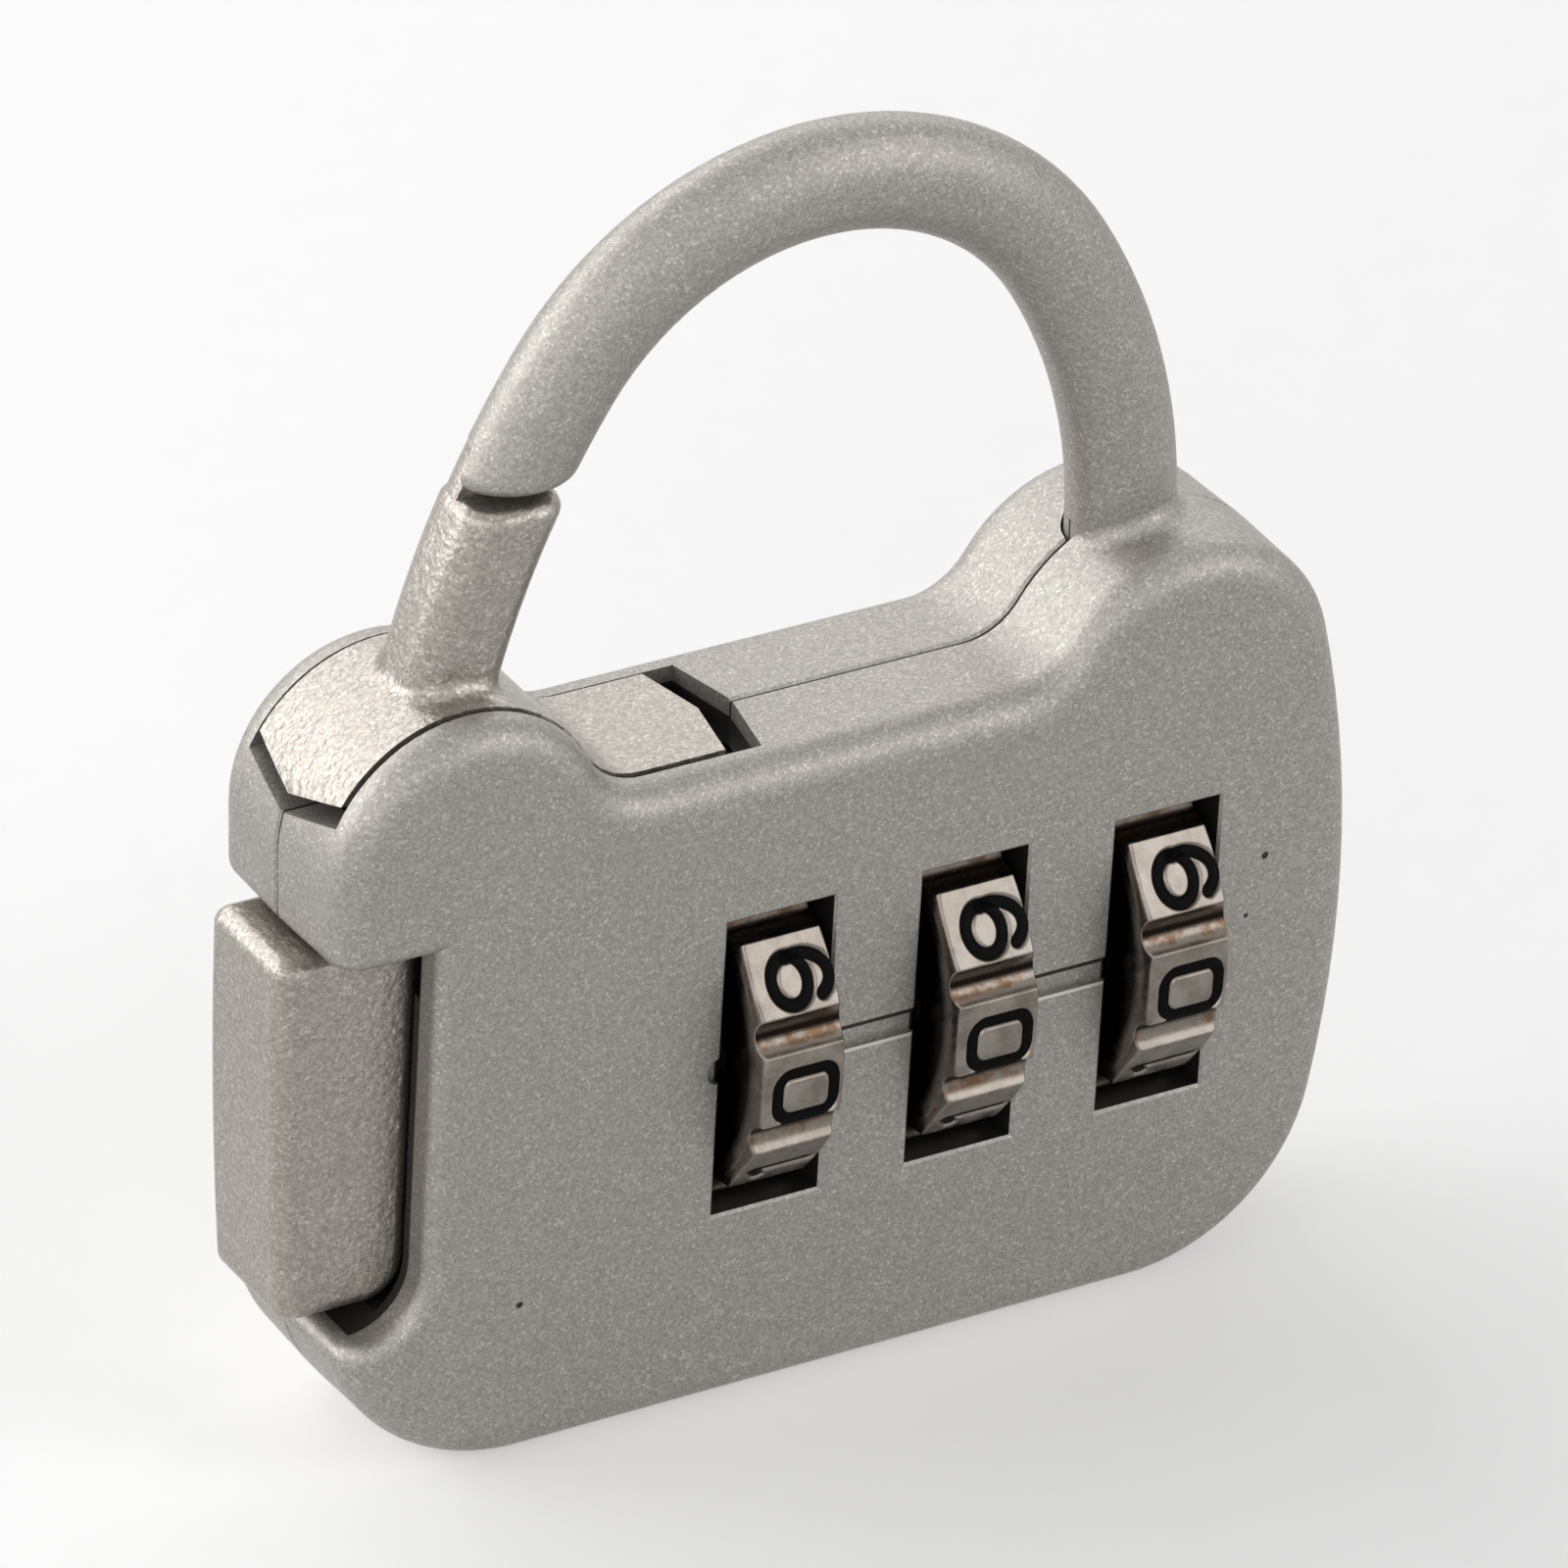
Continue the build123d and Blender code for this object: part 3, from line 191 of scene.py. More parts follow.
def new_material(name, finish, **values):
    """A material with a principled shader.

    Its inputs are what the finish, a function of the node tree, the place on the object and the
    values, gives back.
    """
    material = bpy.data.materials.new(name)
    material.use_nodes = True
    tree = material.node_tree
    tree.nodes.clear()
    place = (add(tree, "ShaderNodeTexCoord"), "Object")
    shader = add(tree, "ShaderNodeBsdfPrincipled", finish(tree, place, **values))
    add(tree, "ShaderNodeOutputMaterial", {"Surface": (shader, "BSDF")})
    return material


def new_piece(name, points, faces, material, body):
    """A mesh piece from points in millimetres that rides on a body."""
    mesh = bpy.data.meshes.new(name)
    mesh.from_pydata((points * MM).tolist(), [], faces.tolist())
    mesh.materials.append(material)
    mesh.polygons.foreach_set("use_smooth", np.ones(len(mesh.polygons), dtype=bool))
    mesh.update()
    piece = bpy.data.objects.new(name, mesh)
    bpy.context.scene.collection.objects.link(piece)
    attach(piece, body)
    return piece


# ================================================================ where a finish changes
def round_wheels(half_width, half_depth, half_height):
    """Low and high corner of a box round each wheel."""
    half = np.array([half_width, half_depth, half_height])
    middles = [np.array([WHEEL_MIDDLE + k * WHEEL_PITCH, 0.0, WHEEL_AXIS]) for k in (-1, 0, 1)]
    return [(tuple(middle - half), tuple(middle + half)) for middle in middles]


def inside_any(tree, place, boxes):
    """One inside any of the boxes, each a low and a high corner in millimetres, else zero."""
    at = add(tree, "ShaderNodeSeparateXYZ", {"Vector": place})
    inside = 0.0
    for low, high in boxes:
        fits = 1.0
        for axis, start, end in zip("XYZ", low, high):
            middle, reach = (start + end) / 2 * MM, (end - start) / 2 * MM
            near = add(
                tree,
                "ShaderNodeMath",
                {0: (at, axis), 1: middle, 2: reach},
                operation="COMPARE",
            )
            both = add(
                tree,
                "ShaderNodeMath",
                {0: fits, 1: (near, "Value")},
                operation="MULTIPLY",
            )
            fits = (both, "Value")
        either = add(tree, "ShaderNodeMath", {0: inside, 1: fits}, operation="MAXIMUM")
        inside = (either, "Value")
    return inside


def specks(tree, place, spots):
    """One in round spots, each a (point, radius) in millimetres, else zero.

    A spot's edge is uneven: it wanders between 0.6 and 1.4 of the radius.
    """
    ragged = add(
        tree,
        "ShaderNodeTexNoise",
        {"Vector": place, "Scale": per_mm(0.12), "Detail": 2.0},
    )
    reach = add(
        tree,
        "ShaderNodeMapRange",
        {"Value": (ragged, "Fac"), "To Min": 0.6, "To Max": 1.4},
    )
    spotted = 0.0
    for point, radius in spots:
        off = add(
            tree,
            "ShaderNodeVectorMath",
            {0: place, 1: tuple(v * MM for v in point)},
            operation="DISTANCE",
        )
        edge = add(
            tree,
            "ShaderNodeMath",
            {0: (reach, "Result"), 1: radius * MM},
            operation="MULTIPLY",
        )
        hit = add(
            tree,
            "ShaderNodeMath",
            {0: (off, "Value"), 1: (edge, "Value")},
            operation="LESS_THAN",
        )
        either = add(
            tree,
            "ShaderNodeMath",
            {0: spotted, 1: (hit, "Value")},
            operation="MAXIMUM",
        )
        spotted = (either, "Value")
    return spotted


def laid_over(tree, colour, layers):
    """A colour with (mask, hex) layers laid over it in turn."""
    for mask, over in layers:
        mix = add(
            tree,
            "ShaderNodeMix",
            {MIX_SHARE: mask, MIX_UNDER: colour, MIX_OVER: linear(over)},
            data_type="RGBA",
        )
        colour = (mix, MIX_COLOUR)
    return colour


def white_where_seen(tree, plain, seen):
    """A strength that is one value as light and another to the eye and in reflections."""
    path = add(tree, "ShaderNodeLightPath")
    mirrored = add(
        tree,
        "ShaderNodeMath",
        {0: (path, "Is Glossy Ray"), 1: (path, "Is Transmission Ray")},
        operation="ADD",
    )
    looked_at = add(
        tree,
        "ShaderNodeMath",
        {0: (path, "Is Camera Ray"), 1: (mirrored, "Value")},
        operation="ADD",
        use_clamp=True,
    )
    strength = add(
        tree,
        "ShaderNodeMapRange",
        {"Value": (looked_at, "Value"), "To Min": plain, "To Max": seen},
    )
    return (strength, "Result")


# ================================================================ finishes
def flaked_lacquer(tree, place, tones, flake, dimple, dimple_depth, roughness):
    """Metallic lacquer: flakes in a satin coat over a slightly uneven skin.

    Most flakes are tilted and have tones between the two given; the few that lie flat get a
    lighter colour for their sparkle, a painted glint. The widths of a flake and a dimple and the
    dimple's depth are in millimetres.
    """
    flakes = add(tree, "ShaderNodeTexVoronoi", {"Vector": place, "Scale": per_mm(flake)})
    tilt = add(tree, "ShaderNodeSeparateColor", {"Color": (flakes, "Color")})
    # the top share of the flakes gets a lighter colour: a painted glint
    tone = add(
        tree,
        "ShaderNodeValToRGB",
        {"Fac": (tilt, "Red")},
        ramp=((0.0, tones[0]), (TILTED_FLAKES, tones[1]), (1.0, PAINTED_FLAKE_GLINT)),
    )
    dimples = add(
        tree,
        "ShaderNodeTexNoise",
        {"Vector": place, "Scale": per_mm(dimple), "Detail": 2.0, "Roughness": 0.5},
    )
    skin = add(
        tree,
        "ShaderNodeBump",
        {"Height": (dimples, "Fac"), "Strength": 1.0, "Distance": dimple_depth * MM},
    )
    return {
        "Base Color": (tone, "Color"),
        "Metallic": METAL_SHARE,
        "Roughness": roughness,
        "Normal": (skin, "Normal"),
    }


def body_lacquer(tree, place):
    """Silver metallic lacquer sprayed on the die-cast zinc housings.

    Aluminium flakes in clear lacquer give a satin grey with a fine grain of lighter and darker
    specks. A real flake is about 0.03 mm; it is drawn 0.07 mm wide so that the grain shows.
    Specks of dust are caught in it. The lower edge of the index marks gets a painted highlight,
    and under their upper edge is painted shadow; dark dirt sits along the seam. The rooms inside
    and the windows' walls are painted near-black, a painted shade, with no metal shine.
    """
    finish = flaked_lacquer(
        tree, place, BODY_TONES, flake=0.07, dimple=0.9, dimple_depth=0.010, roughness=0.50
    )
    # the rooms inside and the windows' walls get near-black painted shade
    shaded_inside = inside_any(tree, place, [ROOMS, *round_wheels(*SHADED_WINDOW)])
    layers = [
        # painted highlight on the index marks' lower edge, painted shadow under their upper edge,
        # dark dirt along the seam and in the specks
        (inside_any(tree, place, [PAINTED_HIGHLIGHT_EDGE]), PAINTED_HIGHLIGHT),
        (inside_any(tree, place, [PAINTED_SHADOW_EDGE, SEAM]), DIRT_AND_PAINTED_SHADOW),
        (specks(tree, place, DUST_SPECKS), DIRT_AND_PAINTED_SHADOW),
        (shaded_inside, PAINTED_INSIDE_SHADE),
    ]
    finish["Base Color"] = laid_over(tree, finish["Base Color"], layers)
    # where the painted shade lies, the lacquer also loses its metal shine
    shine = add(
        tree,
        "ShaderNodeMapRange",
        {"Value": shaded_inside, "To Min": METAL_SHARE, "To Max": 0.0},
    )
    finish["Metallic"] = (shine, "Result")
    return finish


def casting_lacquer(tree, place):
    """The same lacquer sprayed wetter on the gate and the button.

    It dried to an orange peel of shallow dimples about 0.24 mm across that catches the light in
    small glints, a shade warmer than the body.
    """
    return flaked_lacquer(
        tree, place, CASTING_TONES, flake=0.08, dimple=0.24, dimple_depth=0.040, roughness=0.34
    )


def nickel_plating(tree, place):
    """Bright nickel plating on the cast wheels.

    It is satin and slightly warm, dulled by handling. The upper slope of each groove is painted
    black, a painted shade, and brown stains lie in patches in the groove. The sides are painted
    near-black towards the axle, a painted shade.
    """
    centred = add(
        tree,
        "ShaderNodeVectorMath",
        {0: place, 1: (0.0, 0.0, WHEEL_AXIS * MM)},
        operation="SUBTRACT",
    )
    across = add(
        tree,
        "ShaderNodeVectorMath",
        {0: (centred, "Vector"), 1: (0.0, -1.0, 1.0)},
        operation="MULTIPLY",
    )
    radius = add(tree, "ShaderNodeVectorMath", {0: (across, "Vector")}, operation="LENGTH")
    at = add(tree, "ShaderNodeSeparateXYZ", {"Vector": (across, "Vector")})
    turn = add(tree, "ShaderNodeMath", {0: (at, "Z"), 1: (at, "Y")}, operation="ARCTAN2")
    step = math.radians(NUMBER_STEP)
    in_step = add(
        tree,
        "ShaderNodeMath",
        {0: (turn, "Value"), 1: step, 2: 0.0},
        operation="WRAP",
    )
    shades = ("#000000", "#ffffff", "#ffffff", "#000000")
    upper_slope = add(
        tree,
        "ShaderNodeValToRGB",
        {"Fac": (in_step, "Value")},
        ramp=[(step / 2 + math.radians(off), shade) for off, shade in zip(GROOVE_SHADE_SPAN, shades)],
    )
    sunk = add(
        tree,
        "ShaderNodeMapRange",
        {
            "Value": (radius, "Value"),
            "From Min": (WHEEL_FLAT - STAIN_AND_SHADE_DEPTHS[0]) * MM,
            "From Max": (WHEEL_FLAT - STAIN_AND_SHADE_DEPTHS[1]) * MM,
        },
    )
    faces = round_wheels(WHEEL_HALF_WIDTH - FACE_MARGIN, 2 * WHEEL_FLAT, 2 * WHEEL_FLAT)
    stain_and_shade = add(
        tree,
        "ShaderNodeMath",
        {0: (sunk, "Result"), 1: inside_any(tree, place, faces)},
        operation="MULTIPLY",
    )
    cloud = add(
        tree,
        "ShaderNodeTexNoise",
        {"Vector": place, "Scale": per_mm(0.7), "Detail": 3.0, "Roughness": 0.6},
    )
    patches = add(
        tree,
        "ShaderNodeMapRange",
        {"Value": (cloud, "Fac"), "From Min": 0.44, "From Max": 0.60},
    )
    brown = add(
        tree,
        "ShaderNodeMath",
        {0: (stain_and_shade, "Value"), 1: (patches, "Result")},
        operation="MULTIPLY",
    )
    # the upper slope of each groove is painted black: painted shade
    black = add(
        tree,
        "ShaderNodeMath",
        {0: (stain_and_shade, "Value"), 1: (upper_slope, "Color")},
        operation="MULTIPLY",
    )
    # the sides darken towards the axle: painted shade
    side_shade = add(
        tree,
        "ShaderNodeMapRange",
        {
            "Value": (radius, "Value"),
            "From Min": (WHEEL_FLAT - SIDE_SHADE_DEPTHS[0]) * MM,
            "From Max": (WHEEL_FLAT - SIDE_SHADE_DEPTHS[1]) * MM,
        },
    )
    worn = add(
        tree,
        "ShaderNodeValToRGB",
        {"Fac": (cloud, "Fac")},
        ramp=((0.35, NICKEL_TONES[0]), (0.65, NICKEL_TONES[1])),
    )
    layers = [
        ((brown, "Value"), BROWN_STAIN),
        ((black, "Value"), PAINTED_GROOVE_SHADE),
        ((side_shade, "Result"), PAINTED_SIDE_SHADE),
    ]
    dulled = add(
        tree,
        "ShaderNodeMapRange",
        {"Value": (cloud, "Fac"), "From Min": 0.3, "From Max": 0.7, "To Min": 0.22, "To Max": 0.36},
    )
    dents = add(
        tree,
        "ShaderNodeTexNoise",
        {"Vector": place, "Scale": per_mm(0.35), "Detail": 3.0},
    )
    skin = add(
        tree,
        "ShaderNodeBump",
        {"Height": (dents, "Fac"), "Strength": 0.6, "Distance": 0.02 * MM},
    )
    return {
        "Base Color": laid_over(tree, (worn, "Color"), layers),
        "Metallic": 1.0,
        "Roughness": (dulled, "Result"),
        "Normal": (skin, "Normal"),
    }


def number_enamel(tree, place):
    """Black enamel wiped into the numbers: deep black with a soft sheen and a few thin spots."""
    thin = add(
        tree,
        "ShaderNodeTexNoise",
        {"Vector": place, "Scale": per_mm(0.25), "Detail": 3.0},
    )
    tone = add(
        tree,
        "ShaderNodeValToRGB",
        {"Fac": (thin, "Fac")},
        ramp=((0.35, "#040404"), (0.8, "#0c0a09")),
    )
    return {"Base Color": (tone, "Color"), "Roughness": 0.5, "Specular IOR Level": 0.05}


def machined_metal(tree, place, dark, light, mark, roughness):
    """Turned, ground or drawn metal: a satin shine with fine marks round its length along X.

    Real tool marks are about 0.03 mm wide; they are drawn three to four times coarser, by the
    given width in millimetres, so that they show.
    """
    stretch = add(tree, "ShaderNodeMapping", {"Vector": place, "Scale": (1.0, 0.12, 0.12)})
    marks = add(
        tree,
        "ShaderNodeTexNoise",
        {"Vector": (stretch, "Vector"), "Scale": per_mm(mark), "Detail": 3.0},
    )
    tone = add(
        tree,
        "ShaderNodeValToRGB",
        {"Fac": (marks, "Fac")},
        ramp=((0.3, dark), (0.7, light)),
    )
    skin = add(
        tree,
        "ShaderNodeBump",
        {"Height": (marks, "Fac"), "Strength": 0.3, "Distance": 0.01 * MM},
    )
    return {
        "Base Color": (tone, "Color"),
        "Metallic": 1.0,
        "Roughness": roughness,
        "Normal": (skin, "Normal"),
    }


def paper(tree, place):
    """Matt white paper: pale to the eye and in reflections, and it keeps the shadow.

    Its fibres are finer than the camera sees; they are drawn as faint clouds 1.5 mm wide.
    """
    fibre = add(
        tree,
        "ShaderNodeTexNoise",
        {"Vector": place, "Scale": per_mm(1.5), "Detail": 2.0},
    )
    tone = add(
        tree,
        "ShaderNodeValToRGB",
        {"Fac": (fibre, "Fac")},
        ramp=((0.0, "#f8f8f8"), (1.0, "#fcfcfc")),
    )
    return {
        "Base Color": (tone, "Color"),
        "Roughness": 0.95,
        "Specular IOR Level": 0.1,
        "Emission Color": linear("#ffffff"),
        "Emission Strength": white_where_seen(tree, 0.0, FLOOR_GLOW),
    }


NICKEL = new_material("worn_nickel_plating", nickel_plating)
ENAMEL = new_material("black_number_enamel", number_enamel)
FINISH = {                      # by the CAD nodes' material slots
    "painted_zinc": new_material("silver_flake_lacquer", body_lacquer),
    "gate_paint": new_material("silver_orange_peel_lacquer", casting_lacquer),
    "plated_wheel": NICKEL,
    "brass_sleeve": new_material(
        "greased_turned_brass",
        machined_metal,
        dark="#3d3222",
        light="#57482f",
        mark=0.12,
        roughness=0.42,
    ),
    "steel_part": new_material(
        "ground_steel",
        machined_metal,
        dark="#7f7f80",
        light="#a3a3a4",
        mark=0.10,
        roughness=0.32,
    ),
    "spring_steel": new_material(
        "drawn_spring_steel",
        machined_metal,
        dark="#5e5e60",
        light="#8a8a8c",
        mark=0.08,
        roughness=0.30,
    ),
}


def finish_cad_nodes():
    """Give every CAD node the finish of its material slot."""
    slots = {part["node"]: part["material_slot"] for part in frame["record"]["subparts"]}
    for name, node in frame["nodes"].items():
        node.data.materials.clear()
        node.data.materials.append(FINISH[slots[name]])


# ================================================================ number strokes
def arc(centre, radii, start, end, count=40):
    """Points of an ellipse arc: centre + radii * (cos t, sin t) for t from start to end degrees."""
    t = np.radians(np.linspace(start, end, count))
    return np.stack([centre[0] + radii[0] * np.cos(t), centre[1] + radii[1] * np.sin(t)], axis=1)


def ring(centre, radii):
    """Points of a whole ellipse, each one once."""
    return arc(centre, radii, 0, 360, 60)[:-1]


def run(*corners):
    """Straight runs through the given corners."""
    return np.array(corners, dtype=float)


def rounded_box(half, radii):
    """Closed box outline with elliptic corners: four quarter arcs joined by straight sides."""
    quarters = ((1, 1, 0), (-1, 1, 90), (-1, -1, 180), (1, -1, 270))
    x, y = half[0] - radii[0], half[1] - radii[1]
    return np.concatenate(
        [arc((sx * x, sy * y), radii, start, start + 90, 14) for sx, sy, start in quarters]
    )


def number_strokes():
    """Centre lines of the numbers on a box 1 wide and 1 high, each as (points, closed)."""
    two = arc((0.0, 0.2), (0.5, 0.3), 165, -25), run((-0.5, -0.5), (0.5, -0.5))
    three = arc((0.0, 0.25), (0.44, 0.25), 150, -90), arc((0.0, -0.25), (0.5, 0.25), 90, -150)
    five = (
        run((0.45, 0.5), (-0.38, 0.5), (-0.44, 0.08)),
        arc((-0.02, -0.17), (0.52, 0.33), 128, -145),
    )
    nine = [(ring((0.0, 0.19), (0.5, 0.31)), True), (arc((0.0, 0.0), (0.5, 0.5), 22, -142), False)]
    six = [(-points, closed) for points, closed in nine]
    return {
        0: [(rounded_box((0.5, 0.5), (0.34, 0.22)), True)],
        1: [(run((-0.28, 0.33), (0.02, 0.5), (0.02, -0.5)), False)],
        2: [(np.concatenate(two), False)],
        3: [(np.concatenate(three), False)],
        4: [(run((0.2, -0.5), (0.2, 0.5), (-0.5, -0.22), (0.5, -0.22)), False)],
        5: [(np.concatenate(five), False)],
        6: six,
        7: [(run((-0.5, 0.5), (0.5, 0.5), (-0.12, -0.5)), False)],
        8: [(ring((0.0, 0.25), (0.42, 0.25)), True), (ring((0.0, -0.24), (0.5, 0.26)), True)],
        9: nine,
    }


NUMBERS = number_strokes()


def resampled(points, closed, step):
    """Even steps along a line, by its length."""
    line = np.vstack([points, points[:1]]) if closed else points
    length = np.concatenate([[0], np.cumsum(np.linalg.norm(np.diff(line, axis=0), axis=1))])
    at = np.linspace(0, length[-1], max(8, int(length[-1] / step)) + 1)
    out = np.stack([np.interp(at, length, line[:, k]) for k in (0, 1)], axis=1)
    return out[:-1] if closed else out


def number_lines(number, step):
    """A number's centre lines in millimetres on its flat, as (points, closed)."""
    scale = np.array([NUMBER_WIDTH, NUMBER_HEIGHT])
    shift = np.array(NUMBER_SHIFT.get(number, NUMBER_SHIFT["others"]))
    return [
        (resampled(line * scale, closed, step) + shift, closed)
        for line, closed in NUMBERS[number]
    ]


# ================================================================ wheels and enamel
def grid_faces(rows, columns, loop_rows, loop_columns):
    """Quads between neighbours on a grid of points, which may close on itself either way.

    A face looks along the cross product of a step to the next row and one to the next column.
    """
    row = np.arange(rows if loop_rows else rows - 1)[:, None]
    column = np.arange(columns if loop_columns else columns - 1)[None, :]
    here, after = row * columns, (row + 1) % rows * columns
    beside = (column + 1) % columns
    corners = [after + column, after + beside, here + beside, here + column]
    return np.stack(corners, axis=2).reshape(-1, 4)


def band(points, closed, half_width, rise, shoulder):
    """A band along a line.

    The surface is line(t) + s * normal(t) for s across the band, risen by a flat top that
    falls over the shoulder at each side. An open band ends in half circles: there the line runs
    on by half_width * sin(a) while the band narrows to half_width * cos(a).
    """
    if closed:
        ahead = np.roll(points, -1, axis=0) - np.roll(points, 1, axis=0)
    else:
        ahead = np.gradient(points, axis=0)
    ahead = ahead / np.linalg.norm(ahead, axis=1)[:, None]
    width = np.full(len(points), half_width)
    if not closed:
        cap = np.radians(np.linspace(0, 88, 7))[1:]
        first = points[0] - ahead[0] * (half_width * np.sin(cap[::-1]))[:, None]
        last = points[-1] + ahead[-1] * (half_width * np.sin(cap))[:, None]
        points = np.vstack([first, points, last])
        turns = (len(cap), 1)
        ahead = np.vstack([np.tile(ahead[0], turns), ahead, np.tile(ahead[-1], turns)])
        narrow = half_width * np.cos(cap)
        width = np.concatenate([narrow[::-1], width, narrow])
    side = np.stack([-ahead[:, 1], ahead[:, 0]], axis=1)
    across = np.array([-1.0, -1.0 + shoulder, 0.0, 1.0 - shoulder, 1.0])
    height = np.array([-0.5, 1.0, 1.0, 1.0, -0.5]) * rise
    flat = points[:, None, :] + side[:, None, :] * (width[:, None] * across)[:, :, None]
    tall = np.broadcast_to(height, flat.shape[:2])
    grid = np.concatenate([flat, tall[:, :, None]], axis=2)
    rows, columns = grid.shape[:2]
    return grid.reshape(-1, 3), grid_faces(rows, columns, closed, False)


def on_wheel(points, wheel_x, number):
    """Wrap flat (right, up, rise) points onto the wheel's flat that carries the number.

    The number's top points to -X and its right side up the face. The front flat looks to -Y,
    and each next number sits 36 degrees further round +X.
    """
    right, up, rise = points.T
    y, z = -(WHEEL_FLAT + rise), right
    turn = math.radians(NUMBER_STEP * number)
    return np.stack(
        [
            wheel_x - up,
            y * math.cos(turn) - z * math.sin(turn),
            WHEEL_AXIS + y * math.sin(turn) + z * math.cos(turn),
        ],
        axis=1,
    )


def enamel_form(wheel_x):
    """Enamel in all ten numbers of a wheel: a band along each centre line, sunk in its stroke."""
    all_points, all_faces, start = [], [], 0
    for number in range(10):
        for points, closed in number_lines(number, ENAMEL_STEP):
            half_width = (STROKE + WALL) / 2
            flat, faces = band(points, closed, half_width, ENAMEL_RISE, ENAMEL_SHOULDER)
            flat = flat - np.array([0.0, 0.0, ENAMEL_DEPTH])
            all_points.append(on_wheel(flat, wheel_x, number))
            all_faces.append(faces + start)
            start += len(flat)
    return np.concatenate(all_points), np.concatenate(all_faces)


def from_flat(turn):
    """Degrees from the middle of the nearest flat."""
    return (turn + NUMBER_STEP / 2) % NUMBER_STEP - NUMBER_STEP / 2


def wheel_outside(off, x):
    """Radius of the wheel's outside by degrees from the middle of a flat and place across.

    It is the smallest of the flat, WHEEL_FLAT / cos(off), the near side of the round groove in
    the corner, and the rim, base + RIM_RISE * (1 - u^2), with u going from 0 to 1 over the last
    RIM_WIDTH. A soft minimum, -s * log(sum(exp(-r / s))), rounds the edges between them.
    """
    flat = WHEEL_FLAT / np.cos(np.radians(off))
    centre = WHEEL_FLAT - GROOVE_DEPTH + GROOVE_RADIUS
    corner = np.radians(NUMBER_STEP / 2 - np.abs(off))
    reach = GROOVE_RADIUS**2 - (centre * np.sin(corner)) ** 2
    near = centre * np.cos(corner) - np.sqrt(np.maximum(reach, 0))
    groove = np.where(reach > 0, near, 2 * WHEEL_FLAT)
    u = np.maximum(np.abs(x) - (WHEEL_HALF_WIDTH - RIM_WIDTH), 0) / RIM_WIDTH
    rim = WHEEL_FLAT - GROOVE_DEPTH + RIM_RISE * (1 - u**2)
    soft = EDGE_SOFTNESS
    round_part = (np.exp(-flat / soft) + np.exp(-groove / soft))[:, None]
    return -soft * np.log(round_part + np.exp(-rim / soft)[None, :])


def engraved_depth(turn, x):
    """Depth of the numbers' strokes at angles round the wheel and places across it.

    With d the distance to the nearest stroke's centre line, the depth is ENGRAVING times a
    smooth step, t^2 * (3 - 2 t), that falls from one where d is half of STROKE to zero a WALL
    further out.
    """
    depth = np.zeros((len(turn), len(x)))
    off = from_flat(turn)
    number_at = np.round((turn - off) / NUMBER_STEP).astype(int) % 10
    for number in range(10):
        rows = np.nonzero((number_at == number) & (np.abs(off) < NUMBER_REACH))[0]
        right = -WHEEL_FLAT * np.tan(np.radians(off[rows]))
        spots = np.stack(np.broadcast_arrays(right[:, None], -x[None, :]), axis=2).reshape(-1, 2)
        line = np.concatenate([points for points, _ in number_lines(number, ENGRAVING_STEP)])
        d = np.sqrt(((spots[:, None, :] - line[None, :, :]) ** 2).sum(axis=2)).min(axis=1)
        t = np.clip((STROKE / 2 + WALL - d) / WALL, 0.0, 1.0)
        depth[rows] = (ENGRAVING * t * t * (3 - 2 * t)).reshape(len(rows), len(x))
    return depth


def wheel_columns():
    """Across the wheel: place along X and share of the way from the outside to the bore.

    The columns run from the bore up the left side, across the rims and the face, and down the
    right side, as one closed loop.
    """
    face = WHEEL_HALF_WIDTH - RIM_WIDTH
    rim = face + RIM_WIDTH * np.sin(np.radians(np.linspace(0, 90, RIM_STEPS + 1)[1:]))
    across = np.concatenate([-rim[::-1], np.linspace(-face, face, FACE_STEPS), rim])
    side = np.array(SIDE_SHARES)
    edge = np.full(len(side), WHEEL_HALF_WIDTH)
    share = np.concatenate([side, np.zeros(len(across)), side[::-1]])
    return np.concatenate([-edge, across, edge]), share


def wheel_form(wheel_x):
    """A number wheel, worked out on a grid of angle and place across.

    The radius is the outside carried to the bore by the share, less the engraving; the bore
    opens to ten drive notches.
    """
    turn = np.linspace(0, 360, TURN_STEPS, endpoint=False)
    off = from_flat(turn)
    x, share = wheel_columns()
    bore = np.where(np.abs(off) < NOTCH_TURN, NOTCH_REACH, WHEEL_BORE)[:, None]
    radius = wheel_outside(off, x) * (1 - share) + bore * share
    outside = slice(len(SIDE_SHARES), -len(SIDE_SHARES))
    radius[:, outside] -= engraved_depth(turn, x[outside])
    angle = np.radians(turn)[:, None]
    points = np.stack(
        [
            np.broadcast_to(wheel_x + x, radius.shape),
            -radius * np.cos(angle),
            WHEEL_AXIS - radius * np.sin(angle),
        ],
        axis=2,
    )
    return points.reshape(-1, 3), grid_faces(*radius.shape, True, True)


def number_wheels():
    """Each wheel with its engraved numbers, and the enamel in them."""
    for index in (1, 2, 3):
        node, body = f"number_wheel_{index}", f"dial_{index}"
        low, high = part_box(node)
        middle = (low[0] + high[0]) / 2 / MM
        points, faces = wheel_form(middle)
        wheel = new_piece(f"engraved_wheel_{index}", points, faces, NICKEL, body)
        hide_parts(node)
        points, faces = enamel_form(middle)
        new_piece(f"number_enamel_{index}", points, faces, ENAMEL, body)


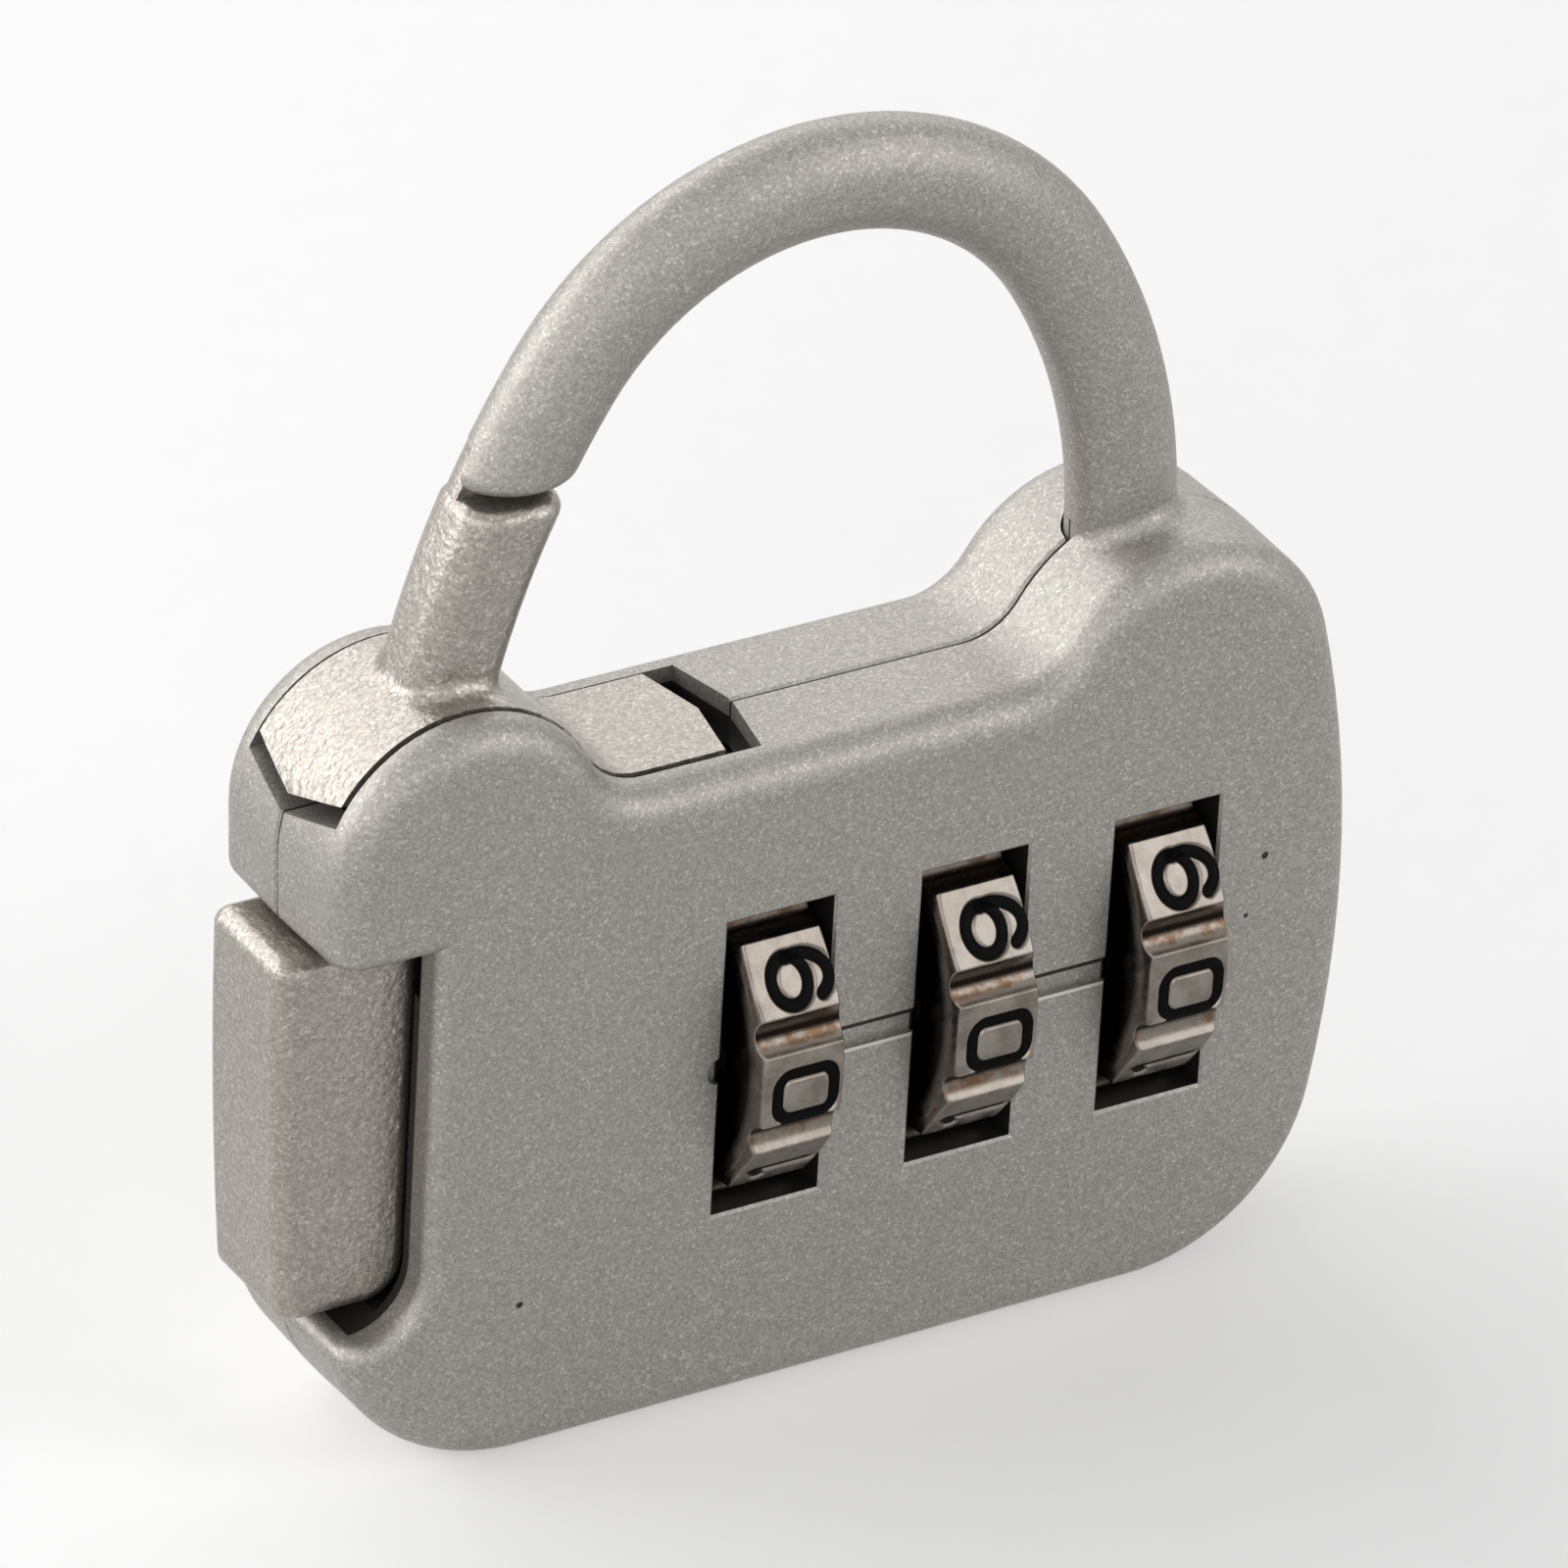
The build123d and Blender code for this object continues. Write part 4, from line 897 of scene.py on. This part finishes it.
# ================================================================ camera, floor and light
def add_camera():
    """A long lens from the front left and above, turned a little about its axis.

    It stands at DISTANCE from the aim and looks at the aim moved by AIM_OFFSET in its picture.
    """
    a, e, r = math.radians(AZIMUTH), math.radians(ELEVATION), math.radians(ROLL)
    level = Vector((math.cos(a), -math.sin(a), 0))
    steep = Vector((math.sin(a) * math.sin(e), math.cos(a) * math.sin(e), math.cos(e)))
    across = level * math.cos(r) + steep * math.sin(r)
    upwards = steep * math.cos(r) - level * math.sin(r)
    aim = Vector(AIM)
    place = aim - steep.cross(level) * DISTANCE
    centre = aim + across * AIM_OFFSET[0] + upwards * AIM_OFFSET[1]
    look = (centre - place).normalized()
    side = look.cross(upwards).normalized()
    turn = Matrix((side, side.cross(look), -look)).transposed().to_4x4()
    data = bpy.data.cameras.new("camera")
    data.sensor_width = SENSOR
    data.lens = FOCAL
    data.clip_start = NEAR_CLIP * MM
    camera = bpy.data.objects.new("camera", data)
    camera.matrix_world = Matrix.Translation(place * MM) @ turn
    bpy.context.scene.collection.objects.link(camera)
    bpy.context.scene.camera = camera


def add_lamps():
    """The soft boxes, each aimed at the middle wheel."""
    aim = Vector(AIM) * MM
    for name, (place, size, power) in LAMPS.items():
        data = bpy.data.lights.new(name, "AREA")
        data.shape = "RECTANGLE"
        data.size, data.size_y = size[0] * MM, size[1] * MM
        data.energy = power
        lamp = bpy.data.objects.new(name, data)
        lamp.location = Vector(place) * MM
        lamp.rotation_euler = (aim - lamp.location).to_track_quat("-Z", "Y").to_euler()
        bpy.context.scene.collection.objects.link(lamp)


def add_floor():
    """A large sheet of paper under the object."""
    corners = [(-1, -1, 0), (1, -1, 0), (1, 1, 0), (-1, 1, 0)]
    mesh = bpy.data.meshes.new("floor")
    mesh.from_pydata((np.array(corners) * FLOOR_HALF * MM).tolist(), [], [(0, 1, 2, 3)])
    mesh.materials.append(new_material("white_paper_sweep", paper))
    floor = bpy.data.objects.new("floor", mesh)
    bpy.context.scene.collection.objects.link(floor)


def add_world():
    """White to the camera and in reflections, a plain level as light."""
    world = bpy.data.worlds.new("studio")
    bpy.context.scene.world = world
    world.use_nodes = True
    tree = world.node_tree
    tree.nodes.clear()
    back = add(
        tree,
        "ShaderNodeBackground",
        {"Color": linear("#ffffff"), "Strength": white_where_seen(tree, AMBIENT, 1.0)},
    )
    add(tree, "ShaderNodeOutputWorld", {"Surface": (back, "Background")})


finish_cad_nodes()
number_wheels()
add_camera()
add_floor()
add_world()
add_lamps()

bpy.context.scene.view_settings.view_transform = "Standard"
